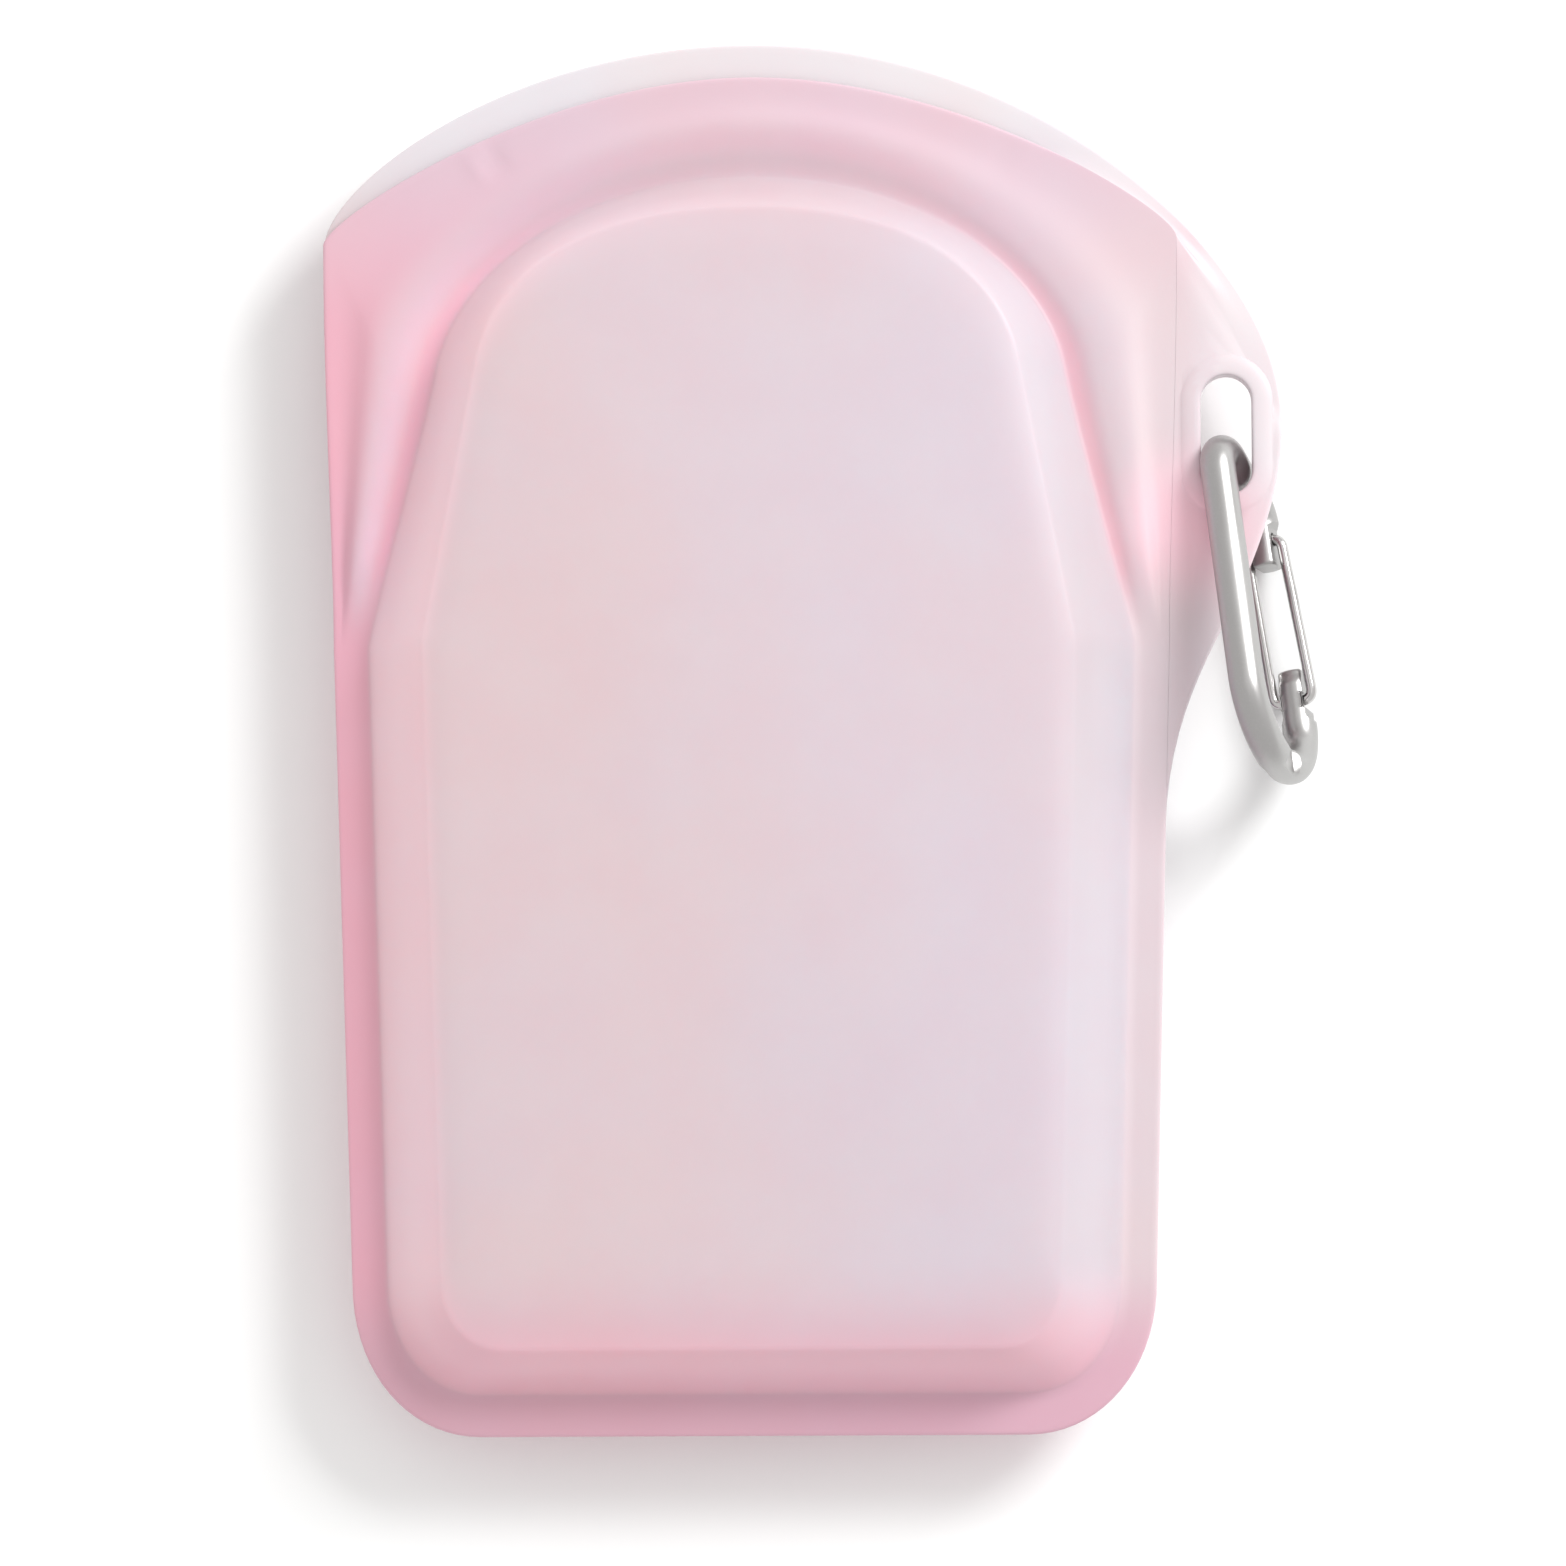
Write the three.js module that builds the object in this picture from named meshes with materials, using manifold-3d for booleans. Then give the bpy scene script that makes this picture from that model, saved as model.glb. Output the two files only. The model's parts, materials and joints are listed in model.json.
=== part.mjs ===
// Reusable silicone food bag: two moulded shells joined round three sides, a press seal across
// an arched mouth, an ear with a slot, and a mini carabiner with a wire gate in that slot.
// Millimetres, +Z up. The bag lies on its back, with +Y towards the mouth and +X towards the ear.
// The origin is on the flat back face that it rests on. The back shell mirrors the front one.

import * as THREE from 'three';
import { mergeVertices } from 'three/addons/utils/BufferGeometryUtils.js';
import Module from 'manifold-3d';

const wasm = await Module();
wasm.setup();

// ---- Driving dimensions: pouch ----
const bagDepth = 25; // over both bulges
const wallThickness = 1.3;
const bottomY = -93.4; // outer edge of the bottom margin
const cornerRun = 18.1; // across, from the straight bottom to the side
const cornerRise = 21.4; // up, from the bottom to where the side is straight
const edgeHalfWidthLow = 56.3; // outer edge beside the bottom corners
const edgeHalfWidthHinge = 58.9;
const edgeHalfWidthMouth = 60.4;
const hingeY = 17.6; // line that joins the two ends of the seal
const flankY = -8; // where the ear starts to leave the side
const mouthCornerY = 75; // where the front lip leaves the sides
const edgeShoulderPull = 12; // how far each side keeps its direction past the hinge line
const edgeShoulderEase = 20; // and before the mouth's corner
const lipCornerRise = 3.6; // how far the lip keeps the side's direction past its corner
const lipArchPull = 30; // and how far its level top runs out
const frontLipY = 98.4; // top of the front lip
const backLipReach = 4.9; // how far the back lip stands past the front one
const lipEdgeHeight = 1.4; // half thickness of the closed margin
const edgeChamfer = 0.4;
const sideMargin = 5.1; // flat margin beside the bulge
const bottomMargin = 5.9;

// ---- Driving dimensions: bulge ----
const domeNeckX = 44.3; // half width of the bulge where its dome starts
const domeNeckY = 56.5;
const domeTopY = 84;
const neckLean = 0.19; // inward slope of the neck's sides
const domeShoulderPull = 8;
const domeShoulderEase = 10;
const domeCrownRise = 14.5;
const domeCrownShare = 0.54; // of the neck's half width, along which the dome's top is level
const bulgeFootHeight = 1.9; // above the mid-plane
const wallRunSide = 7.8; // plan width of the bulge's sloping wall
const wallRunNeck = 5.8;
const wallRunTop = 5.4;
const wallRunBottom = 5.7;
const plateauRounding = 3.4;
const plateauDrop = 0.9;
const midWallHeightShare = 0.55; // of the bulge's height, half way along its wall
const cornerFollow = 0.5; // how far an inner line's corner starts inside an outer one's, for each step in

// ---- Driving dimensions: press seal ----
const crestFromDomeNeck = 6.3; // from the foot of the bulge to the middle of the ridge
const crestFromDomeTop = 6.5;
const crestFromFootSide = 3.2;
const crestRise = 2.2; // ridge above the flat margin
const crestShoulderDrop = 0.25;
const valleyRise = 0.8;
const innerValleyShare = 0.8; // of the valley's rise, on the inner face
const innerFootLift = 0.2;
const crestFadeLength = 14; // over which the ridge dies out beside the hinge line
const sealStartY = 38;
const tongueHalfWidth = 0.55;
const tongueBottom = -1; // below the mid-plane
const grooveClearance = 0.45;
const railWidth = 0.9;
const railTop = 0.9;
const grooveFloor = 0.5; // thickness of the channel's floor

// ---- Driving dimensions: ear and slot ----
const earReach = 14.7; // ear's outermost point past the mouth's half width
const earReachY = 48.7;
const earFlankReach = 7.4; // ear's edge past the side, a little above the hinge line
const earFlankAbove = 1.9;
const earFlankAngle = 62.7; // degrees from +X, the ear's direction there
const earFlankPull = 8;
const earTipPull = 11;
const earCrownPull = 24.3;
const earArchPull = 40;
const flankPull = new THREE.Vector2(0.5, 12);
const earLayerTopY = 71;
const slotWeb = 3.2; // between the flap's side and the slot
const slotBelowTip = 10.5; // from the ear's outermost point down to the slot's lower end
const slotLength = 17;
const slotPlay = 2.2; // the slot is this much wider than the rod that it takes
const rimWidth = 2.6;
const rimHeight = 0.4;

// ---- Driving dimensions: carabiner, across (from its spine) and down (from its top) ----
const rodDiameter = 5;
const spineEnd = 34; // down the spine to the start of the bottom bend
const bottomAcross = 11;
const bottomDown = 44.4;
const spinePull = 4.6; // how far each part of the bottom bend keeps its direction
const bottomPullSpine = 6.4;
const bottomPullNose = 5.4;
const nosePull = 5;
const noseAcross = 20.6;
const noseBendEnd = 36;
const noseEnd = 28.8;
const noseThickness = 3.4;
const topBend = 3.5; // centreline radii
const hingeBend = 4;
const topBarSlope = 0.494; // down per across
const hingeAcross = 15.7;
const hingeLegLean = 0.05; // across per down
const hingeLegEnd = 13.4;
const hingeThickness = 3;
const flatStartHinge = 7.8;
const pivotDown = 10.7;
const pivotOffset = 0.8; // each leg's hole lies this far from the pivot's middle
const wireDiameter = 1.5;
const wireBend = 1.6;
const pivotClearance = 0.45;
const legGapHinge = 0.35; // between a leg and the flattened hinge end
const legGapNose = 0.5;
const notchGap = 0.35; // between the gate's end bar and the notch round it
const barbLip = 1.1; // how far the end bar lies inside the barb
const barDown = 33.1;

// ---- Driving dimensions: how the carabiner lies ----
const carabinerYaw = 6.5; // degrees, its lower end towards +X
const carabinerPitch = 12.5; // degrees, its lower end raised
const carabinerLean = 21; // degrees, its gate side towards +X
const spineLift = 1.1; // from the mid-plane to the underside of the spine at its top
const bendAcrossInSlot = 4.4; // the place on the rod that sits in the slot
const rodPastSlotEnd = 4; // from the slot's lower end to the underside of the rod's top

// ---- Clearances ----
const layerGap = 0.1; // between pieces that lie face to face
const splitGap = 0.3; // between pieces that part or meet edge to edge
const rimSetback = 0.3; // between the slot's wall and the rims' inner edge

// ---- Sizes that follow from the others ----
const midPlane = bagDepth / 2;
const bondHalf = 0.2; // half thickness of the bond between the layers
const innerFace = bondHalf + layerGap; // inner face of each flat margin, from the mid-plane
const bulgeHeight = bagDepth / 2;
const cornerStartX = edgeHalfWidthLow - cornerRun;
const cornerTopY = bottomY + cornerRise;
const slotWidth = rodDiameter + slotPlay;
const slotCentreX = edgeHalfWidthMouth + slotWeb + slotWidth / 2;
const slotLowY = earReachY - slotBelowTip;
const spineHeight = midPlane + rodDiameter / 2 + spineLift;
const spineTopY = slotLowY + rodDiameter / 2 + rodPastSlotEnd;

// ---- Fineness of the facets, and how far a cutter runs past what it cuts ----
const circleSides = 12;
const wireSides = 8;
const rodSteps = 62;
const wireSteps = 64;
const slotArcSteps = 9;
const cutOverrun = 1;

const silicone = new THREE.MeshStandardMaterial({ color: 0xe9c4d0, roughness: 0.45, metalness: 0 });
const deepSilicone = new THREE.MeshStandardMaterial({ color: 0xdca3b6, roughness: 0.5, metalness: 0 });
const satinMetal = new THREE.MeshStandardMaterial({ color: 0xc9c7c5, roughness: 0.35, metalness: 1 });
const brightWire = new THREE.MeshStandardMaterial({ color: 0xd5d2d2, roughness: 0.1, metalness: 1 });

// ---- Solids and meshes ----

// Turns a closed geometry into a solid that can be cut and joined.
function solidFrom(geometry) {
  const bare = geometry.index ? geometry.toNonIndexed() : geometry.clone();
  bare.deleteAttribute('normal');
  bare.deleteAttribute('uv');
  const merged = mergeVertices(bare);
  const vertProperties = new Float32Array(merged.attributes.position.array);
  const triVerts = new Uint32Array(merged.index.array);
  return new wasm.Manifold(new wasm.Mesh({ numProp: 3, vertProperties, triVerts }));
}

function geometryFrom(solid) {
  const mesh = solid.getMesh();
  const geometry = new THREE.BufferGeometry();
  geometry.setAttribute('position', new THREE.BufferAttribute(mesh.vertProperties, 3));
  geometry.setIndex(new THREE.BufferAttribute(mesh.triVerts, 1));
  return geometry;
}

function namedMesh(name, solid, material) {
  const geometry = geometryFrom(solid).toNonIndexed();
  geometry.computeVertexNormals();
  const mesh = new THREE.Mesh(geometry, material);
  mesh.name = name;
  return mesh;
}

function boxSolid(low, high) {
  const size = high.map((value, axis) => value - low[axis]);
  const geometry = new THREE.BoxGeometry(...size);
  geometry.translate(...low.map((value, axis) => value + size[axis] / 2));
  return solidFrom(geometry);
}

// Leaves out the points in the middle of straight stretches, which a flat cap has no use for.
function withoutStraightPoints(outline) {
  const flatEnough = 1e-5;
  return outline.filter((p, i) => {
    const into = p.clone().sub(outline.at(i - 1));
    const away = outline[(i + 1) % outline.length].clone().sub(p);
    return Math.abs(into.cross(away)) > flatEnough;
  });
}

// A flat outline in the bag's plane, made solid between two heights above the mid-plane.
function plateSolid(outline, low, high, hole = null) {
  const shape = new THREE.Shape(withoutStraightPoints(outline));
  if (hole) {
    shape.holes.push(new THREE.Path(withoutStraightPoints(hole)));
  }
  const geometry = new THREE.ExtrudeGeometry(shape, { depth: high - low, bevelEnabled: false });
  geometry.translate(0, 0, midPlane + low);
  return solidFrom(geometry);
}

// ---- Outlines: each runs from the bottom's middle up one side to the top's middle ----

const samplesPerSegment = [2, 5, 3, 2, 6, 10];

// The six stretches of one side: bottom, corner, side, flank, shoulder and crown.
function sideCurves(k) {
  const point = (x, y) => new THREE.Vector2(x, y);
  const cornerPull = 0.57;
  const low = point(k.lowX, cornerTopY);
  const flank = point(THREE.MathUtils.mapLinear(flankY, cornerTopY, hingeY, k.lowX, k.hingeX), flankY);
  const hinge = point(k.hingeX, hingeY);
  const neck = point(k.neckX, k.neckY);
  const run = k.lowX - k.cornerStartX;
  const rise = cornerTopY - k.bottomY;
  return [
    new THREE.LineCurve(point(0, k.bottomY), point(k.cornerStartX, k.bottomY)),
    new THREE.CubicBezierCurve(point(k.cornerStartX, k.bottomY),
      point(k.cornerStartX + cornerPull * run, k.bottomY),
      point(k.lowX, cornerTopY - cornerPull * rise), low),
    new THREE.LineCurve(low, flank),
    new THREE.LineCurve(flank, hinge),
    new THREE.CubicBezierCurve(hinge, point(k.hingeX - k.lean * k.shoulderPull, hingeY + k.shoulderPull),
      point(k.neckX + k.lean * k.shoulderEase, k.neckY - k.shoulderEase), neck),
    new THREE.CubicBezierCurve(neck, point(k.neckX - k.lean * k.crownRise, k.neckY + k.crownRise),
      point(k.crownPull, k.crownY), point(0, k.crownY)),
  ];
}

// The ear's side: it leaves the margin at the flank and swells out past the mouth's corner.
function earCurves(k) {
  const point = (x, y) => new THREE.Vector2(x, y);
  const curves = sideCurves(k);
  const flank = curves[2].v2;
  const foot = point(edgeHalfWidthHinge + earFlankReach, hingeY + earFlankAbove);
  const tip = point(edgeHalfWidthMouth + earReach, earReachY);
  const pull = point(earFlankPull, 0).rotateAround(point(0, 0), THREE.MathUtils.degToRad(earFlankAngle));
  curves[3] = new THREE.CubicBezierCurve(flank, flank.clone().add(flankPull), foot.clone().sub(pull), foot);
  curves[4] = new THREE.CubicBezierCurve(foot, foot.clone().add(pull), point(tip.x, tip.y - earTipPull), tip);
  curves[5] = new THREE.CubicBezierCurve(tip, point(tip.x, tip.y + earCrownPull),
    point(earArchPull, k.crownY), point(0, k.crownY));
  return curves;
}

function sampleSide(curves) {
  const points = [];
  curves.forEach((curve, segment) => {
    const count = samplesPerSegment[segment];
    for (let i = 0; i < count; i += 1) {
      points.push(curve.getPoint(i / count));
    }
  });
  points.push(curves.at(-1).getPoint(1));
  return points;
}

// A closed outline, counter-clockwise from the bottom's middle, from its right and left sides.
function ringFrom(rightCurves, leftCurves) {
  const right = sampleSide(rightCurves);
  const left = sampleSide(leftCurves).slice(1, -1).reverse();
  return right.concat(left.map((p) => new THREE.Vector2(-p.x, p.y)));
}

// Sizes of an outline that follows the bulge, moved outwards by the given amounts.
function bulgeSizes({ bottom, side, neck, top }) {
  return {
    bottomY: bottomY + bottomMargin - bottom,
    cornerStartX: cornerStartX + cornerFollow * side,
    lowX: edgeHalfWidthLow - sideMargin + side,
    hingeX: edgeHalfWidthHinge - sideMargin + side,
    neckX: domeNeckX + neck,
    neckY: domeNeckY,
    lean: neckLean,
    shoulderPull: domeShoulderPull,
    shoulderEase: domeShoulderEase,
    crownY: domeTopY + top,
    crownRise: domeCrownRise,
    crownPull: (domeNeckX + neck) * domeCrownShare,
  };
}

// Sizes of the outer edge of a shell whose lip is the given amount past the front lip.
function edgeSizes(lipReach, grow = 0) {
  return {
    bottomY: bottomY - grow,
    cornerStartX,
    lowX: edgeHalfWidthLow + grow,
    hingeX: edgeHalfWidthHinge + grow,
    neckX: edgeHalfWidthMouth + grow,
    neckY: mouthCornerY,
    lean: 0,
    shoulderPull: edgeShoulderPull,
    shoulderEase: edgeShoulderEase,
    crownY: frontLipY + lipReach + grow,
    crownRise: lipCornerRise + lipReach,
    crownPull: lipArchPull + lipReach,
  };
}

const symmetricRing = (k) => ringFrom(sideCurves(k), sideCurves(k));
const blendRings = (a, b, t) => a.map((p, i) => p.clone().lerp(b[i], t));

const footRing = symmetricRing(bulgeSizes({ bottom: 0, side: 0, neck: 0, top: 0 }));
const plateauRing = symmetricRing(bulgeSizes({
  bottom: -wallRunBottom, side: -wallRunSide, neck: -wallRunNeck, top: -wallRunTop,
}));
const crestRing = symmetricRing(bulgeSizes({
  bottom: bottomMargin / 2, side: crestFromFootSide, neck: crestFromDomeNeck, top: crestFromDomeTop,
}));
const frontEdgeRing = symmetricRing(edgeSizes(0));
const clearOfFrontRing = symmetricRing(edgeSizes(0, splitGap));
const backEdgeRing = ringFrom(earCurves(edgeSizes(backLipReach)), sideCurves(edgeSizes(backLipReach)));

// ---- Shells ----

// 1 where the seal's ridge stands in full, 0 below the hinge line.
function ridgeWeight(y) {
  return THREE.MathUtils.smoothstep(y, hingeY, hingeY + crestFadeLength);
}

// Moves each point of a ring inwards, square to the ring.
function insetRing(ring, distance) {
  return ring.map((p, i) => {
    const before = ring.at(i - 1);
    const after = ring[(i + 1) % ring.length];
    const along = after.clone().sub(before).normalize();
    return new THREE.Vector2(p.x - along.y * distance, p.y + along.x * distance);
  });
}

function level(ring, height) {
  return ring.map((p) => new THREE.Vector3(p.x, p.y, height));
}

function ridged(ring, height, rise) {
  return ring.map((p) => new THREE.Vector3(p.x, p.y, height + rise * ridgeWeight(p.y)));
}

// The rings of one shell, from the middle of its inner face round its edge to its outer face.
function shellRings(edgeRing) {
  const half = 0.5;
  const valleyShare = 0.65;
  const outShoulderShare = 0.55;
  const inShoulderShare = 0.6;
  const outFlank = blendRings(frontEdgeRing, crestRing, half);
  const valley = blendRings(crestRing, footRing, valleyShare);
  const outShoulder = blendRings(crestRing, outFlank, outShoulderShare);
  const inShoulder = blendRings(crestRing, valley, inShoulderShare);
  const midWall = blendRings(footRing, plateauRing, half);
  const midHeight = bulgeHeight * midWallHeightShare;
  const innerValley = valleyRise * innerValleyShare;
  const shoulderRise = crestRise - crestShoulderDrop;
  const thinning = lipEdgeHeight - innerFace; // margin's own thickness
  const inside = (height) => height - wallThickness;
  const cavityRise = crestRise - (wallThickness - thinning);
  return [
    level(insetRing(plateauRing, plateauRounding + wallThickness), inside(bulgeHeight)),
    level(insetRing(plateauRing, wallThickness), inside(bulgeHeight - plateauDrop)),
    level(insetRing(midWall, wallThickness), midHeight),
    ridged(insetRing(footRing, wallThickness), innerFace + innerFootLift, innerValley),
    ridged(valley, innerFace, innerValley),
    ridged(inShoulder, innerFace, cavityRise - crestShoulderDrop),
    ridged(crestRing, innerFace, cavityRise),
    ridged(outShoulder, innerFace, cavityRise - crestShoulderDrop),
    level(outFlank, innerFace),
    level(edgeRing, innerFace),
    level(edgeRing, lipEdgeHeight - edgeChamfer),
    level(insetRing(edgeRing, edgeChamfer), lipEdgeHeight),
    level(outFlank, lipEdgeHeight),
    ridged(outShoulder, lipEdgeHeight, shoulderRise),
    ridged(crestRing, lipEdgeHeight, crestRise),
    ridged(inShoulder, lipEdgeHeight, shoulderRise),
    ridged(valley, lipEdgeHeight, valleyRise),
    ridged(footRing, bulgeFootHeight, valleyRise / 2),
    level(midWall, midHeight),
    level(plateauRing, bulgeHeight - plateauDrop),
    level(insetRing(plateauRing, plateauRounding), bulgeHeight),
  ];
}

// A closed skin over the rings, with a level cap on the first and the last.
function loft(rings, facesUp) {
  const count = rings[0].length;
  const middles = [rings[0], rings.at(-1)].map((ring) => new THREE.Vector3(0, 0, ring[0].z));
  const points = rings.flat().concat(middles);
  const positions = points.flatMap((p) => [p.x, p.y, midPlane + (facesUp ? p.z : -p.z)]);
  const index = [];
  const addFace = (a, b, c) => index.push(...(facesUp ? [a, b, c] : [a, c, b]));
  for (let ring = 0; ring < rings.length - 1; ring += 1) {
    for (let i = 0; i < count; i += 1) {
      const here = ring * count + i;
      const next = ring * count + ((i + 1) % count);
      addFace(here, next, next + count);
      addFace(here, next + count, here + count);
    }
  }
  const firstMiddle = rings.length * count;
  const lastStart = firstMiddle - count;
  for (let i = 0; i < count; i += 1) {
    const next = (i + 1) % count;
    addFace(firstMiddle, next, i);
    addFace(firstMiddle + 1, lastStart + i, lastStart + next);
  }
  const geometry = new THREE.BufferGeometry();
  geometry.setAttribute('position', new THREE.Float32BufferAttribute(positions, 3));
  geometry.setIndex(index);
  return solidFrom(geometry);
}

function frontPieces() {
  const shell = loft(shellRings(frontEdgeRing), true);
  const far = 2 * bagDepth + frontLipY - bottomY;
  const below = boxSolid([-far, -far, -far], [far, hingeY - splitGap / 2, far]);
  const above = boxSolid([-far, hingeY + splitGap / 2, -far], [far, far, far]);
  return [
    namedMesh('front_panel', shell.intersect(below), silicone),
    namedMesh('front_flap', shell.intersect(above), silicone),
  ];
}

// ---- Slot and ear ----

function stadium(width, length) {
  const radius = width / 2;
  const straight = (length - width) / 2;
  const centreY = slotLowY + slotLength / 2;
  const arc = new THREE.Path();
  arc.absarc(slotCentreX, centreY + straight, radius, 0, Math.PI, false);
  arc.absarc(slotCentreX, centreY - straight, radius, Math.PI, 2 * Math.PI, false);
  const points = arc.getPoints(slotArcSteps);
  const samePlace = 1e-6;
  return points.filter((p, i) => i === 0 || p.distanceTo(points[i - 1]) > samePlace);
}

const slotOutline = stadium(slotWidth, slotLength);

function slotCutter() {
  return plateSolid(slotOutline, -bagDepth, bagDepth);
}

function backPanel() {
  const shell = loft(shellRings(backEdgeRing), false);
  return namedMesh('back_panel', shell.subtract(slotCutter()), silicone);
}

// The front layer's part of the ear, fused to the back layer and clear of the flap's edge.
function earFrontLayer() {
  const whole = plateSolid(backEdgeRing, layerGap - innerFace, lipEdgeHeight);
  const flap = plateSolid(clearOfFrontRing, -bagDepth, bagDepth);
  const far = 2 * (earReach + edgeHalfWidthMouth);
  const side = boxSolid([edgeHalfWidthHinge, flankY, -far], [far, earLayerTopY, far]);
  const layer = whole.subtract(flap).intersect(side).subtract(slotCutter());
  return namedMesh('ear_front_layer', layer, silicone);
}

function slotRims() {
  const outer = stadium(slotWidth + 2 * rimWidth, slotLength + 2 * rimWidth);
  const inner = stadium(slotWidth + 2 * rimSetback, slotLength + 2 * rimSetback);
  const foot = lipEdgeHeight + layerGap;
  const front = plateSolid(outer, foot, foot + rimHeight, inner);
  const back = plateSolid(outer, -foot - rimHeight, -foot, inner);
  return [
    namedMesh('slot_rim_front', front, silicone),
    namedMesh('slot_rim_back', back, silicone),
  ];
}

// ---- Bond and seal ----

// The bond joins the margins up to the hinge line, where the seal takes over.
function perimeterBond() {
  const outer = insetRing(frontEdgeRing, layerGap);
  const inner = insetRing(footRing, -splitGap);
  const band = plateSolid(outer, -bondHalf, bondHalf).subtract(plateSolid(inner, -bagDepth, bagDepth));
  const far = 2 * (frontLipY - bottomY);
  const below = boxSolid([-far, -far, -far], [far, hingeY - splitGap, far]);
  return namedMesh('perimeter_bond', band.intersect(below), deepSilicone);
}

// A strip that follows the ridge above sealStartY, between two distances from its middle.
function sealStrip(fromMiddle, toMiddle, low, high) {
  const inner = insetRing(crestRing, -fromMiddle);
  const outer = insetRing(crestRing, -toMiddle);
  const covered = crestRing.map((p, i) => i).filter((i) => crestRing[i].y >= sealStartY);
  const outline = covered.map((i) => outer[i]).concat(covered.map((i) => inner[i]).reverse());
  return plateSolid(outline, low, high);
}

const sealPocket = innerFace + crestRise - (wallThickness - lipEdgeHeight + innerFace) - crestShoulderDrop;

function sealTongue() {
  const strip = sealStrip(-tongueHalfWidth, tongueHalfWidth, tongueBottom, sealPocket - layerGap);
  return namedMesh('seal_tongue', strip, deepSilicone);
}

function sealChannel() {
  const grooveHalf = tongueHalfWidth + grooveClearance;
  const channelHalf = grooveHalf + railWidth;
  const bottom = -sealPocket + layerGap;
  const floor = sealStrip(-channelHalf, channelHalf, bottom, bottom + grooveFloor);
  const outerRail = sealStrip(grooveHalf, channelHalf, bottom, railTop);
  const innerRail = sealStrip(-channelHalf, -grooveHalf, bottom, railTop);
  return namedMesh('seal_channel', floor.add(outerRail).add(innerRail), deepSilicone);
}

// ---- Carabiner: x across its plane, y up its length, z from its gate to its spine ----

// A planar path of across and down values, stood up in the carabiner's own frame.
class PlanarRoute extends THREE.Curve {
  constructor(path) {
    super();
    this.path = path;
  }

  getPoint(t, target = new THREE.Vector3()) {
    const p = this.path.getPoint(t);
    return target.set(0, -p.y, -p.x);
  }
}

const local = (side, across, down) => new THREE.Vector3(side, -down, -across);

function roundBar(route, diameter, sides, steps) {
  const section = new THREE.Shape();
  section.absarc(0, 0, diameter / 2, 0, 2 * Math.PI, false);
  const options = { steps, curveSegments: sides, bevelEnabled: false, extrudePath: route };
  return solidFrom(new THREE.ExtrudeGeometry(section, options));
}

// Adds a line and a round corner to a path, towards the next point.
function lineAndCorner(path, corner, next, radius) {
  const start = path.currentPoint.clone();
  const into = corner.clone().sub(start).normalize();
  const away = next.clone().sub(corner).normalize();
  const turn = into.angleTo(away);
  const reach = radius * Math.tan(turn / 2);
  const begin = corner.clone().addScaledVector(into, -reach);
  const side = Math.sign(into.cross(away));
  const centre = begin.clone().add(new THREE.Vector2(-into.y * side, into.x * side).multiplyScalar(radius));
  const end = corner.clone().addScaledVector(away, reach);
  path.lineTo(begin.x, begin.y);
  const from = Math.atan2(begin.y - centre.y, begin.x - centre.x);
  const to = Math.atan2(end.y - centre.y, end.x - centre.x);
  path.absarc(centre.x, centre.y, radius, from, to, side < 0);
}

function rodRoute() {
  const halfTurn = (Math.PI - Math.atan(1 / topBarSlope)) / 2; // of the top bend
  const topCorner = new THREE.Vector2(0, topBend - topBend * Math.tan(halfTurn));
  const hingeCorner = new THREE.Vector2(hingeAcross, topCorner.y + topBarSlope * hingeAcross);
  const spineFoot = new THREE.Vector2(0, spineEnd);
  const path = new THREE.Path();
  path.moveTo(hingeAcross + hingeLegLean * (hingeLegEnd - hingeCorner.y), hingeLegEnd);
  lineAndCorner(path, hingeCorner, topCorner, hingeBend);
  lineAndCorner(path, topCorner, spineFoot, topBend);
  path.lineTo(0, spineEnd);
  path.bezierCurveTo(0, spineEnd + spinePull,
    bottomAcross - bottomPullSpine, bottomDown, bottomAcross, bottomDown);
  path.bezierCurveTo(bottomAcross + bottomPullNose, bottomDown,
    noseAcross, noseBendEnd + nosePull, noseAcross, noseBendEnd);
  path.lineTo(noseAcross, noseEnd);
  return new PlanarRoute(path);
}

// The pieces to cut away so that the rod is flat on both sides between two places down it.
function sideFlats(thickness, acrossFrom, downFrom, downTo) {
  const far = 2 * rodDiameter;
  const wide = rodDiameter + cutOverrun;
  const right = boxSolid([thickness / 2, -downTo, -acrossFrom - far], [wide, -downFrom, -acrossFrom + wide]);
  const left = boxSolid([-wide, -downTo, -acrossFrom - far], [-thickness / 2, -downFrom, -acrossFrom + wide]);
  return right.add(left);
}

const barAcross = noseAcross - barbLip;

function noseNotch() {
  const half = wireDiameter / 2 + notchGap;
  const far = rodDiameter;
  return boxSolid([-far, -barDown - half, -barAcross - half], [far, -barDown + half, -barAcross + far]);
}

function pivotHoles() {
  const radius = wireDiameter / 2 + pivotClearance;
  const depth = hingeThickness / 2 + cutOverrun;
  const holes = [-1, 1].map((side) => {
    const geometry = new THREE.CylinderGeometry(radius, radius, depth, circleSides);
    geometry.rotateZ(Math.PI / 2);
    geometry.translate(side * depth / 2, -pivotDown + side * pivotOffset, -hingeAcross);
    return solidFrom(geometry);
  });
  return holes[0].add(holes[1]);
}

function carabinerBody() {
  const rod = roundBar(rodRoute(), rodDiameter, circleSides, rodSteps);
  const body = rod
    .subtract(sideFlats(hingeThickness, hingeAcross, flatStartHinge, hingeLegEnd + cutOverrun))
    .subtract(sideFlats(noseThickness, noseAcross, noseEnd - cutOverrun, noseBendEnd))
    .subtract(noseNotch())
    .subtract(pivotHoles());
  return namedMesh('carabiner_body', body, satinMetal);
}

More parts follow.
